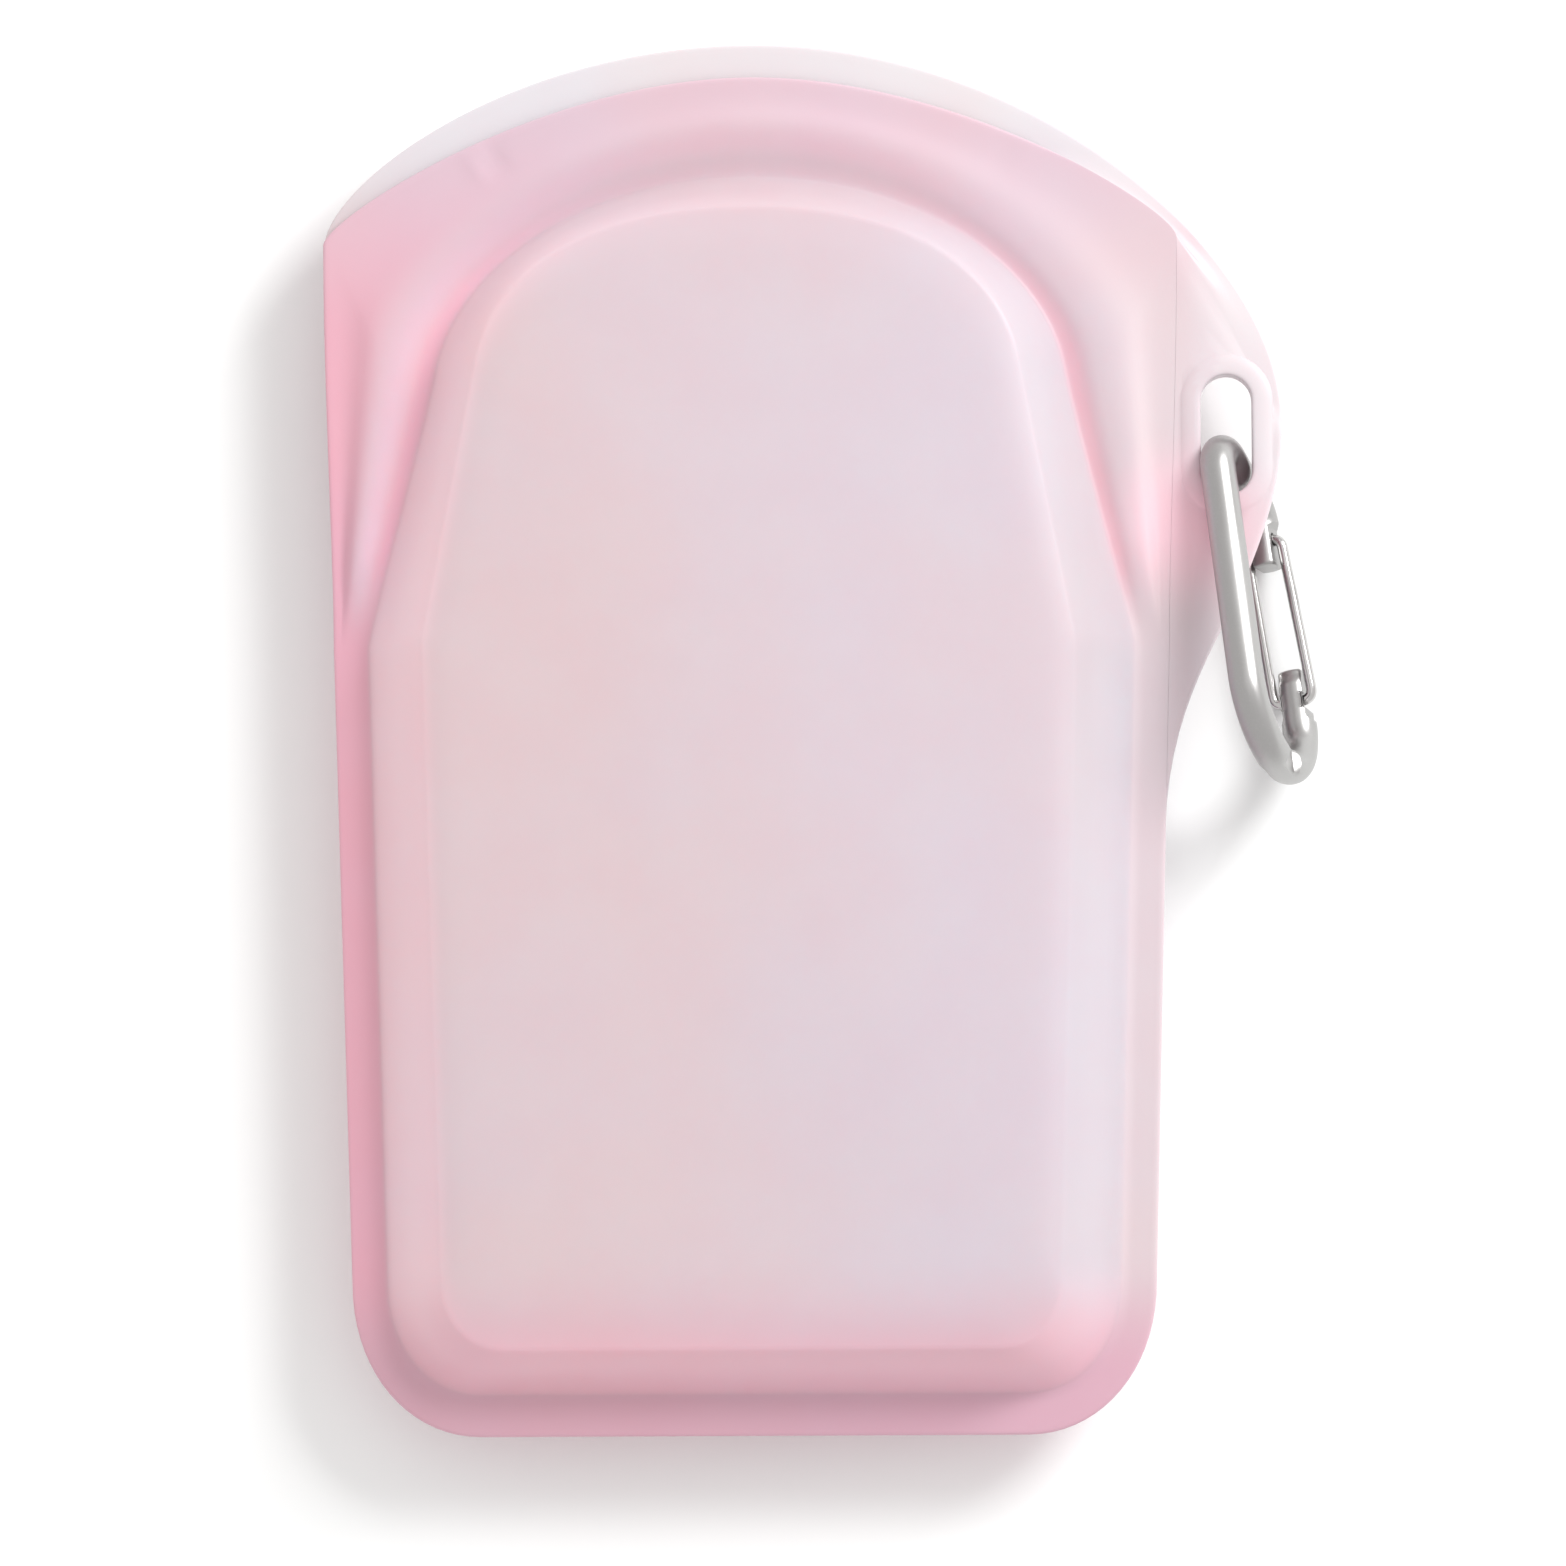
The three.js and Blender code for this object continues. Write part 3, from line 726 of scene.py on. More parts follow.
@dataclass(frozen=True)
class PolishedWire:
    """Bright drawn stainless wire with faint smears."""

    name: str
    colour: Colour = (0.60, 0.59, 0.585)
    dull: Colour = (0.46, 0.455, 0.45)
    roughness: float = 0.12
    grain_size: float = 0.25 * MM
    smear_size: float = 3 * MM

    def material(self) -> Material:
        """Builds the material.

        Returns:
            The material.
        """
        material, tree, surface = new_material(self.name)
        grain = effect(tree, EFFECTS.grain(), self.grain_size, Pits=0.1)
        smears = effect(tree, EFFECTS.handling(), self.smear_size)["Smears"]
        set_inputs(surface, {
            "Base Color": mixed(tree, smears, self.colour, self.dull),
            "Roughness": remapped(tree, smears, 0.0, 1.0, self.roughness, self.roughness + 0.12),
            "Normal": relief(tree, grain["Height"], 0.08, 0.01 * MM),
            "Metallic": 1.0,
        })
        return material


def dress(piece: Piece, material: Material) -> None:
    """Gives a piece its finish, stores its place at rest and gives it plain margin zone weights if it has
    none.

    Args:
        piece: The piece.
        material: Its material.
    """
    keep_rest_place(piece)
    if Zone.FLAT.attribute not in piece.data.attributes:
        paint_zones(piece, np.zeros((1, 3)), Zone.MARGIN.weights[None])
    piece.data.materials.clear()
    piece.data.materials.append(material)


# ---- The pouch's lines ----


@dataclass(frozen=True)
class Outline:
    """One side of an outline, from the middle of the bottom up to the middle of the top."""

    corner_start: float  # where the straight bottom turns into its corner
    corner_top: float
    bottom: float
    low_x: float
    hinge: tuple[float, float]
    neck: tuple[float, float]
    lean: float  # inward slope at the neck
    shoulder_pull: float
    shoulder_ease: float
    crown_y: float
    crown_rise: float
    crown_pull: float
    flank_y: float

    samples = (14, 18, 20, 10, 28, 44)  # over the bottom, corner, side, flank, shoulder and crown
    corner_roundness = 0.57

    def flank(self) -> tuple[float, float]:
        """The place on the straight side where an ear would start to leave it."""
        share = (self.flank_y - self.corner_top) / (self.hinge[1] - self.corner_top)
        return self.low_x + share * (self.hinge[0] - self.low_x), self.flank_y

    def curves(self) -> list[list[tuple[float, float]]]:
        """The control points of the six stretches.

        Returns:
            The bottom, corner, side, flank, shoulder and crown.
        """
        start = (self.corner_start, self.bottom)
        low = (self.low_x, self.corner_top)
        run = self.corner_roundness * (self.low_x - self.corner_start)
        rise = self.corner_roundness * (self.corner_top - self.bottom)
        hinge, neck, flank = self.hinge, self.neck, self.flank()
        return [
            [(0, self.bottom), start],
            [start, (start[0] + run, start[1]), (low[0], low[1] - rise), low],
            [low, flank],
            [flank, hinge],
            [hinge, (hinge[0] - self.lean * self.shoulder_pull, hinge[1] + self.shoulder_pull),
             (neck[0] + self.lean * self.shoulder_ease, neck[1] - self.shoulder_ease), neck],
            [neck, (neck[0] - self.lean * self.crown_rise, neck[1] + self.crown_rise),
             (self.crown_pull, self.crown_y), (0, self.crown_y)],
        ]

    def side(self) -> Line:
        """The outline's samples, from the bottom's middle to the top's middle."""
        stretches = [bezier(points, count) for points, count in zip(self.curves(), self.samples)]
        return np.concatenate([*stretches, [[0, self.crown_y]]])


@dataclass(frozen=True)
class EarOutline(Outline):
    """A side that swells out into the ear before it meets the crown."""

    ear_foot: tuple[float, float] = (66.3 * MM, 19.5 * MM)
    ear_tip: tuple[float, float] = (75.1 * MM, 48.7 * MM)
    foot_slope: tuple[float, float] = (0.46, 0.89)
    foot_pull: float = 8 * MM
    flank_pull: tuple[float, float] = (0.5 * MM, 12 * MM)
    tip_pull: float = 11 * MM
    tip_rise: float = 24.3 * MM
    arch_pull: float = 40 * MM

    def curves(self) -> list[list[tuple[float, float]]]:
        """The control points of the six stretches, the last three of them round the ear."""
        curves = super().curves()
        flank, foot, tip = self.flank(), self.ear_foot, self.ear_tip
        slope = (self.foot_slope[0] * self.foot_pull, self.foot_slope[1] * self.foot_pull)
        curves[3] = [flank, (flank[0] + self.flank_pull[0], flank[1] + self.flank_pull[1]),
                     (foot[0] - slope[0], foot[1] - slope[1]), foot]
        curves[4] = [foot, (foot[0] + slope[0], foot[1] + slope[1]), (tip[0], tip[1] - self.tip_pull), tip]
        curves[5] = [tip, (tip[0], tip[1] + self.tip_rise), (self.arch_pull, self.crown_y), (0, self.crown_y)]
        return curves


def ring_of(right: Outline, left: Outline) -> Line:
    """A closed outline, counter-clockwise from the bottom's middle.

    Args:
        right: Its +X side.
        left: Its -X side.

    Returns:
        The ring's points.
    """
    mirrored = left.side()[1:-1][::-1] * (-1, 1)
    return np.concatenate([right.side(), mirrored])


@dataclass
class PouchForm:
    """The sizes of the moulded pouch and the lines that its surfaces pass through.

    The sizes that the frame holds are read from it; the rest describe the moulding.
    """

    mid_plane: float
    hinge_y: float
    bottom_y: float
    mouth_x: float
    front_lip_y: float
    back_lip_reach: float
    ear_x: float
    edge_low_x: float = 56.3 * MM
    edge_hinge_x: float = 58.9 * MM
    corner_start: float = 38.2 * MM
    corner_rise: float = 21.4 * MM
    corner_follow: float = 0.5
    flank_y: float = -8 * MM
    mouth_corner_y: float = 75 * MM
    ear_y: float = 48.7 * MM
    side_margin: float = 5.1 * MM
    bottom_margin: float = 5.9 * MM
    dome_neck: tuple[float, float] = (44.3 * MM, 56.5 * MM)
    dome_top: float = 84 * MM
    neck_lean: float = 0.19
    dome_rise: float = 14.5 * MM
    dome_fullness: float = 0.54
    lip_rise: float = 3.6 * MM
    lip_pull: float = 30 * MM
    ear_foot: tuple[float, float] = (7.4 * MM, 1.9 * MM)  # from the edge at the hinge line
    wall_run: dict[str, float] = field(default_factory=lambda: {
        "bottom": 5.7 * MM, "side": 7.8 * MM, "neck": 5.8 * MM, "top": 5.4 * MM,
    })
    crest_reach: dict[str, float] = field(default_factory=lambda: {
        "bottom": 2.95 * MM, "side": 3.2 * MM, "neck": 6.3 * MM, "top": 6.5 * MM,
    })
    wall: float = 1.3 * MM
    inner_face: float = 0.3 * MM
    margin_height: float = 1.4 * MM
    foot_height: float = 1.9 * MM
    crest_rise: float = 2.2 * MM
    valley_rise: float = 0.8 * MM
    crest_fade: float = 14 * MM
    ridge_plain: float = 0.8  # shares of the ridge's full height at the plain side, ear side and crown
    ridge_ear: float = 0.5
    ridge_crown: float = 0.3
    ridge_change: tuple[float, float] = (-20 * MM, 30 * MM)
    plateau_rounding: float = 5.6 * MM

    @classmethod
    def from_frame(cls) -> "PouchForm":
        """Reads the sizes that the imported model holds.

        Returns:
            The form.
        """
        panel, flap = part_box("front_panel"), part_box("front_flap")
        back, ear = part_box("back_panel"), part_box("ear_front_layer")
        hinge = joint_named("mouth_open")
        return cls(
            mid_plane=panel[1].z / 2,
            hinge_y=hinge["pos_m"][1],
            bottom_y=panel[0].y,
            mouth_x=flap[1].x,
            front_lip_y=flap[1].y,
            back_lip_reach=back[1].y - flap[1].y,
            ear_x=ear[1].x,
        )

    @property
    def pocket(self) -> float:
        """The height of the hollow inside the ridge, above the mid-plane."""
        return self.crest_rise - self.wall + self.margin_height

    def foot(self) -> Line:
        """The ring where the bulge's wall meets the margin."""
        return self.bulge(dict.fromkeys(self.wall_run, 0.0))

    def bulge(self, reach: dict[str, float], sign: float = 1.0) -> Line:
        """A ring that follows the foot of the bulge.

        Args:
            reach: How far it stands off the foot at the bottom, side, neck and top.
            sign: 1 to stand outside the foot and -1 to stand inside it.

        Returns:
            The ring.
        """
        bottom, side, neck, top = (sign * reach[place] for place in ("bottom", "side", "neck", "top"))
        neck_x = self.dome_neck[0] + neck
        half = Outline(
            corner_start=self.corner_start + self.corner_follow * side,
            corner_top=self.bottom_y + self.corner_rise,
            bottom=self.bottom_y + self.bottom_margin - bottom,
            low_x=self.edge_low_x - self.side_margin + side,
            hinge=(self.edge_hinge_x - self.side_margin + side, self.hinge_y),
            neck=(neck_x, self.dome_neck[1]), lean=self.neck_lean,
            shoulder_pull=8 * MM, shoulder_ease=10 * MM, crown_y=self.dome_top + top,
            crown_rise=self.dome_rise, crown_pull=self.dome_fullness * neck_x, flank_y=self.flank_y,
        )
        return ring_of(half, half)

    def edge(self, lip_reach: float = 0.0, ear: bool = False) -> Line:
        """The ring of a layer's outer edge.

        Args:
            lip_reach: How far its lip stands past the front one.
            ear: True for the layer with the ear.

        Returns:
            The ring.
        """
        sizes = dict(
            corner_start=self.corner_start, corner_top=self.bottom_y + self.corner_rise,
            bottom=self.bottom_y, low_x=self.edge_low_x, hinge=(self.edge_hinge_x, self.hinge_y),
            neck=(self.mouth_x, self.mouth_corner_y), lean=0.0,
            shoulder_pull=12 * MM, shoulder_ease=20 * MM, crown_y=self.front_lip_y + lip_reach,
            crown_rise=self.lip_rise + lip_reach, crown_pull=self.lip_pull + lip_reach, flank_y=self.flank_y,
        )
        plain = Outline(**sizes)
        if not ear:
            return ring_of(plain, plain)
        foot = (self.edge_hinge_x + self.ear_foot[0], self.hinge_y + self.ear_foot[1])
        return ring_of(EarOutline(**sizes, ear_foot=foot, ear_tip=(self.ear_x, self.ear_y)), plain)

    def risen(self, ring: Line) -> np.ndarray:
        """1 where the seal's ridge runs along a ring and 0 below the hinge line."""
        return smooth_step(ring[:, 1], self.hinge_y, self.hinge_y + self.crest_fade)

    def ridge(self, ring: Line) -> np.ndarray:
        """How high the seal's ridge stands along a ring: most at the plain side, least over the crown."""
        side = between(self.ridge_plain, self.ridge_ear, smooth_step(ring[:, 0], *self.ridge_change))
        crown = smooth_step(ring[:, 1], self.dome_neck[1], self.dome_top)
        return self.risen(ring) * between(side, self.ridge_crown, crown)


def joint_named(name: str) -> dict:
    """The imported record's joint with a name."""
    return next(joint for joint in frame["joints"] if joint["name"] == name)


# ---- The bag's layers ----


@dataclass
class Shell:
    """One moulded layer of the bag: its margin, seal ridge, sloping wall and broad flat face."""

    form: PouchForm
    face: Face
    crown: float  # how far the flat face swells at its middle
    ripple: float  # height of the slow waves in the soft surface
    steps: int = 3
    shoulder_drop: float = 0.25 * MM
    edge_hold: float = 1.2 * MM  # from the edge to where the margin is flat
    edge_belly: float = 0.06 * MM
    edge_soft: float = 0.3 * MM
    turn_drop: float = 0.2 * MM  # where the surface turns at the foot and the rim of the wall
    flush_end: tuple[float, float] = (85 * MM, 90 * MM)
    dent_depths: dict[int, float] = field(default_factory=lambda: {-1: 0.55 * MM, 1: 0.2 * MM})  # by side
    dent_place: tuple[float, float] = (36.3 * MM, 87.4 * MM)
    dent_slant: tuple[float, float] = (0.42, 0.91)
    dent_length: float = 4.6 * MM
    dent_width: float = 1.5 * MM

    def lines(self) -> list[tuple[Line, np.ndarray | float, np.ndarray]]:
        """The lines of the layer, from its inner middle round its edge to its outer middle.

        Returns:
            A ring, its height above the mid-plane and its zone weights, for each line.
        """
        form = self.form
        foot = form.foot()
        plateau = form.bulge(form.wall_run, -1)
        crest = form.bulge(form.crest_reach)
        front_edge = form.edge()
        edge = front_edge if self.face is Face.FRONT else form.edge(form.back_lip_reach, ear=True)
        out_flank = between(front_edge, crest, 0.5)
        valley = between(crest, foot, 0.65)
        out_shoulder = between(crest, out_flank, 0.55)
        in_shoulder = between(crest, valley, 0.6)
        top = form.mid_plane
        inner, margin = form.inner_face, form.margin_height
        inner_rise = form.pocket - inner
        inner_valley = 0.8 * form.valley_rise
        flat, wall, plain = Zone.FLAT.weights, Zone.WALL.weights, Zone.MARGIN.weights
        rim = plain if self.face is Face.FRONT else Zone.LIP.weights
        soft = 1 - self.flush(edge)
        hold = inset(edge, self.edge_hold)
        belly = between(edge, inset(edge, -self.edge_belly), soft[:, None])

        def ridged(ring: Line, height: float, rise: float, zone: Zone) -> tuple[Line, np.ndarray, np.ndarray]:
            """A line that rises with the seal's ridge and is plain margin where there is no ridge."""
            weights = between(Zone.MARGIN.weights, zone.weights, form.risen(ring)[:, None])
            return ring, height + rise * form.ridge(ring), weights

        centre = np.array([0.0, (plateau[:, 1].min() + plateau[:, 1].max()) / 2])
        core = between(plateau, centre, form.plateau_rounding / form.edge_low_x)
        inner_core = between(core, centre, form.wall / form.edge_low_x)
        shares = (0.12, 0.3, 0.5, 0.7, 0.88)

        def inwards(ring: Line, height: float) -> list[tuple[Line, float, np.ndarray]]:
            """Lines from the rim of the flat face in to its middle."""
            swell = [(share, self.crown * (1 - (1 - share) ** 2)) for share in shares]
            return [(between(ring, centre, share), height + rise, flat) for share, rise in swell]

        return [
            *inwards(inner_core, top - form.wall)[::-1],
            (inner_core, top - form.wall, flat),
            (inset(plateau, form.wall), top - form.wall - 0.9 * MM, flat),
            (inset(between(foot, plateau, 0.5), form.wall), 0.55 * top, wall),
            ridged(inset(foot, form.wall), inner + self.turn_drop, inner_valley, Zone.MARGIN),
            ridged(valley, inner, inner_valley, Zone.MARGIN),
            ridged(in_shoulder, inner, inner_rise - self.shoulder_drop, Zone.MARGIN),
            ridged(crest, inner, inner_rise, Zone.MARGIN),
            ridged(out_shoulder, inner, inner_rise - self.shoulder_drop, Zone.MARGIN),
            (out_flank, inner, rim),
            (hold, inner, rim),
            (inset(edge, 0.25 * MM), inner, rim),
            (edge, inner + 0.1 * MM, rim),
            (belly, margin - soft * (margin - inner) / 2, rim),
            (edge, margin - soft * self.edge_soft / 2, plain),
            (between(edge, inset(edge, self.edge_soft), soft[:, None]), margin, plain),
            (hold, margin, plain),
            (out_flank, margin, plain),
            ridged(out_shoulder, margin, form.crest_rise - self.shoulder_drop, Zone.MARGIN),
            ridged(crest, margin, form.crest_rise + 0.15 * MM, Zone.CREST),
            ridged(in_shoulder, margin, form.crest_rise - self.shoulder_drop, Zone.CREST),
            ridged(valley, margin, form.valley_rise, Zone.VALLEY),
            ridged(inset(foot, -self.turn_drop), form.foot_height - self.turn_drop, form.valley_rise / 2,
                   Zone.VALLEY),
            (foot, form.foot_height + form.valley_rise / 2 * form.ridge(foot), wall),
            (between(foot, plateau, 0.25), 0.32 * top, wall),
            (between(foot, plateau, 0.62), 0.70 * top, wall),
            (inset(plateau, self.turn_drop), top - 1.0 * MM, wall),
            (inset(plateau, 0.5 * MM), top - 0.8 * MM, between(wall, flat, 0.5)),
            (between(plateau, core, 0.5), top - self.turn_drop, flat),
            (core, top, flat),
            *inwards(core, top),
        ]

    def flush(self, ring: Line) -> np.ndarray:
        """1 where the front layer's edge is square, because it meets the ear's front layer there."""
        if self.face is Face.BACK:
            return np.zeros(len(ring))
        flank = smooth_step(ring[:, 1], self.form.flank_y, self.form.flank_y + 4 * MM)
        crown = 1 - smooth_step(ring[:, 1], *self.flush_end)
        return flank * crown * (ring[:, 0] > 0)

    def waves(self, x: np.ndarray, y: np.ndarray) -> np.ndarray:
        """Slow uneven waves of a soft wall that isn't stretched."""
        return self.ripple * (
            np.sin(x / (13 * MM) + 1.1) * np.sin(y / (19 * MM) + 0.4)
            + 0.6 * np.sin((x + 0.6 * y) / (11 * MM) + 2.0)
            + 0.4 * np.sin((x - 1.3 * y) / (17 * MM))
        )

    def build(self, name: str) -> Piece:
        """Makes the layer's mesh.

        Args:
            name: The piece's name.

        Returns:
            The object.
        """
        control = np.array([
            np.column_stack([at_height(ring, height), np.broadcast_to(weights, (len(ring), len(Zone)))])
            for ring, height, weights in self.lines()
        ])
        eased = ease_rows(control, self.steps)
        grid, zones = eased[..., :3], eased[..., 3:]
        x, y, z = grid[..., 0], grid[..., 1], grid[..., 2]
        lifted = smooth_step(z, 0.6 * self.form.mid_plane, self.form.mid_plane)
        z = z + lifted * self.waves(x, y) - self.crease(x, y)
        grid[..., 2] = self.form.mid_plane + self.face.value * z
        self.zone_points = grid.reshape(-1, 3)
        self.zone_weights = zones.reshape(-1, len(Zone))
        return lofted(name, grid)

    def crease(self, x: np.ndarray, y: np.ndarray) -> np.ndarray:
        """The depth of the small dents pinched into the front lip, one on each side."""
        if self.face is Face.BACK:
            return np.zeros_like(x)
        depth = np.zeros_like(x)
        for side, strength in self.dent_depths.items():
            from_x, from_y = x - side * self.dent_place[0], y - self.dent_place[1]
            inwards_x, inwards_y = -side * self.dent_slant[0], -self.dent_slant[1]
            along = from_x * inwards_x + from_y * inwards_y
            across = from_y * inwards_x - from_x * inwards_y
            depth += strength * bump(along, 0, self.dent_length) * bump(across, 0, self.dent_width)
            ripple = bump(along, 0, 5 * MM) * bump(across, side * 2.2 * MM, 1.8 * MM)
            depth -= strength / 2 * ripple
        return depth


@dataclass
class Slot:
    """The slot through the ear, with a soft raised rim round it on each face."""

    form: PouchForm
    rim_width: float = 2.6 * MM
    edge_round: float = 0.7 * MM
    overcut: float = 10 * MM  # how far the hole's cutter runs past the bag
    sides: int = 18

    def __post_init__(self) -> None:
        """Reads the slot's place and size from the frame."""
        low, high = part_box("slot_rim_front")
        self.centre = np.array(((low + high) / 2).xy)
        self.width = high.x - low.x - 2 * self.rim_width
        self.length = high.y - low.y - 2 * self.rim_width
        self.rim_top = high.z - self.form.mid_plane

    def outline(self, grow: float) -> Line:
        """The slot's outline, moved outwards.

        Args:
            grow: How far outside the slot's wall it runs.

        Returns:
            The outline's points, counter-clockwise.
        """
        radius = self.width / 2 + grow
        straight = (self.length - self.width) / 2
        turns = np.linspace(0, math.pi, self.sides)
        arc = radius * np.column_stack([np.cos(turns), np.sin(turns)])
        upper = self.centre + arc + (0, straight)
        lower = self.centre - arc - (0, straight)
        left = bezier([upper[-1], lower[0]], self.sides)[1:]
        right = bezier([lower[-1], upper[0]], self.sides)[1:]
        return np.concatenate([upper, left, lower, right])

    def cutter(self, grow: float) -> Piece:
        """A prism through both layers, used to cut the hole.

        Args:
            grow: How far outside the slot's wall it cuts.

        Returns:
            The prism.
        """
        outline = self.outline(grow)
        depths = (-self.overcut, 2 * self.form.mid_plane + self.overcut)
        grid = np.array([at_height(outline, depth) for depth in depths])
        return lofted("slot_cutter", grid)

    def rims(self, name: str) -> Piece:
        """The rims of both faces, joined by the slot's wall.

        Args:
            name: The piece's name.

        Returns:
            The object.
        """
        top, skin = self.rim_top, self.form.margin_height
        half_section = [
            (0.0, top - self.edge_round), (0.0, top - 0.3 * MM), (0.3 * MM, top - 0.15 * MM),
            (self.edge_round, top - 0.12 * MM), (1.4 * MM, top - 0.14 * MM), (2.2 * MM, top - 0.26 * MM),
            (self.rim_width + 0.2 * MM, skin + 0.04 * MM), (self.rim_width + 0.5 * MM, skin - 0.16 * MM),
            (self.rim_width, skin - 0.5 * MM),
        ]
        section = half_section + [(grow, -height) for grow, height in half_section[::-1]]
        lines = [at_height(self.outline(grow), self.form.mid_plane + height) for grow, height in section]
        rows = ease_rows(np.array(lines), 2, wrap=True)
        return lofted(name, rows.transpose(1, 0, 2), closed=True)


@dataclass
class EarFront:
    """The ear's front layer: it starts beside the hinge line and dies out along the back lip."""

    form: PouchForm
    groove: float = 0.02 * MM  # the fine line between the layer and the flap's edge
    fade_start: float = 69 * MM
    fade_end: float = 92 * MM
    parting: float = 0.05 * MM  # how far its edge stands inside the back layer's
    least_width: float = 0.25 * MM
    fade_sink: float = 0.4 * MM
    root: float = 0.6 * MM  # how far it reaches into the back layer
    edge_hold: float = 1.2 * MM
    paling_width: float = 7 * MM  # the tint pales outwards over this width
    paling_rise: tuple[float, float] = (70 * MM, 84 * MM)

    def build(self, name: str) -> Piece:
        """Makes the layer's mesh as a strip between the flap's edge and the ear's edge.

        Args:
            name: The piece's name.

        Returns:
            The object.
        """
        form = self.form
        inner = inset(form.edge(), -self.groove)
        outer = inset(form.edge(form.back_lip_reach, ear=True), self.parting)
        half = len(inner) // 2 + 1
        start = int(np.argmax(outer[:half, 0] - inner[:half, 0] > self.least_width))
        end = int(np.argmax(inner[:half, 1] > self.fade_end))
        inner, outer = inner[start:end], outer[start:end]
        faded = smooth_step(inner[:, 1], self.fade_start, self.fade_end)
        top = form.margin_height - faded * (form.margin_height + self.fade_sink)
        foot = np.full(len(inner), -self.root)
        width = np.linalg.norm(outer - inner, axis=1)

        def line(reach: float, from_inner: bool, height: np.ndarray) -> np.ndarray:
            """A line along the strip at a distance from one of its edges."""
            share = np.clip(reach / width, 0, 0.5)
            share = share if from_inner else 1 - share
            flat = inner + (outer - inner) * share[:, None]
            return at_height(flat, form.mid_plane + height)

        section = [
            line(0.4 * MM, True, foot), line(0.0, True, foot + 0.2 * MM),
            *[line(0.0, True, top)] * 3, line(self.edge_hold, True, top),
            line(4 * MM, True, top), line(4 * MM, False, top), line(self.edge_hold, False, top),
            line(0.3 * MM, False, top), line(0.0, False, top - 0.15 * MM),
            line(-0.06 * MM, False, (top + foot) / 2), line(0.0, False, foot + 0.1 * MM),
            line(0.4 * MM, False, foot), line(2 * MM, False, foot), line(2 * MM, True, foot),
        ]
        rows = ease_rows(np.array(section), 2, wrap=True).transpose(1, 0, 2)
        self.zone_points = rows.reshape(-1, 3)
        outwards = smooth_step(self.zone_points[:, 0], form.mouth_x, form.mouth_x + self.paling_width)
        upwards = smooth_step(self.zone_points[:, 1], *self.paling_rise)
        pale = np.maximum(outwards, upwards)
        self.zone_weights = between(Zone.MARGIN.weights, Zone.LIP.weights, pale[:, None])
        return lofted(name, rows)


@dataclass
class Seal:
    """The press seal under the ridge, and the bond that joins the margins below it."""

    form: PouchForm
    start_y: float = 38 * MM
    tongue_half: float = 0.55 * MM
    tongue_foot: float = -1.0 * MM
    groove_gap: float = 0.45 * MM
    rail: float = 0.9 * MM
    rail_top: float = 0.9 * MM
    floor: float = 0.5 * MM
    sink: float = 0.35 * MM  # how far the tongue and the channel stand off the hollow's roof
    bond_half: float = 0.2 * MM
    bond_setback: float = 0.12 * MM
    bond_stop: float = 0.3 * MM  # how far below the hinge line the bond ends

    def strip(self, name: str, section: Sequence[tuple[float, float]]) -> Piece:
        """Runs a section along the ridge from one side of the mouth to the other.

        Args:
            name: The piece's name.
            section: Distances from the ridge's middle line and heights above the mid-plane.

        Returns:
            The object.
        """
        crest = self.form.bulge(self.form.crest_reach)
        kept = np.flatnonzero(crest[:, 1] >= self.start_y)
        lines = [at_height(inset(crest, -offset)[kept], self.form.mid_plane + height)
                 for offset, height in section]
        rows = ease_rows(np.array(lines), 2, wrap=True)
        return lofted(name, rows.transpose(1, 0, 2))

    def tongue(self, name: str) -> Piece:
        """The front layer's bead, which widens a little at its tip so that it snaps in."""
        half, low, high = self.tongue_half, self.tongue_foot, self.form.pocket - self.sink
        section = [(-half, high), (-0.8 * half, 0.4 * MM), (-half, low + 0.6 * MM), (-0.7 * half, low),
                   (0.7 * half, low), (half, low + 0.6 * MM), (0.8 * half, 0.4 * MM), (half, high)]
        return self.strip(name, section)

    def channel(self, name: str) -> Piece:
        """The back layer's groove between two round-topped rails."""
        inner = self.tongue_half + self.groove_gap
        outer = inner + self.rail
        bottom = self.sink - self.form.pocket
        deck = bottom + self.floor
        half_section = [
            (0.0, deck), (0.8 * inner, deck), (inner, deck + 0.3 * MM), (inner, self.rail_top - 0.3 * MM),
            (inner + 0.2 * MM, self.rail_top), (outer - 0.2 * MM, self.rail_top),
            (outer, self.rail_top - 0.3 * MM), (outer, bottom + 0.2 * MM), (outer - 0.2 * MM, bottom),
        ]
        other_half = [(-offset, height) for offset, height in half_section[:0:-1]]
        return self.strip(name, half_section + other_half)

    def bond(self, name: str) -> Piece:
        """The band that fuses the margins round the pouch, up to the hinge line."""
        form = self.form
        outer = inset(form.edge(), self.bond_setback)
        inner = inset(form.foot(), -form.inner_face)
        low = np.flatnonzero(outer[:, 1] < form.hinge_y - self.bond_stop)
        split = int(np.flatnonzero(np.diff(low) > 1)[0]) + 1
        kept = np.concatenate([low[split:], low[:split]])
        corners = ((outer, -1), (inner, -1), (inner, 1), (outer, 1))
        lines = [at_height(ring[kept], form.mid_plane + side * self.bond_half) for ring, side in corners]
        return lofted(name, np.array(lines).transpose(1, 0, 2))


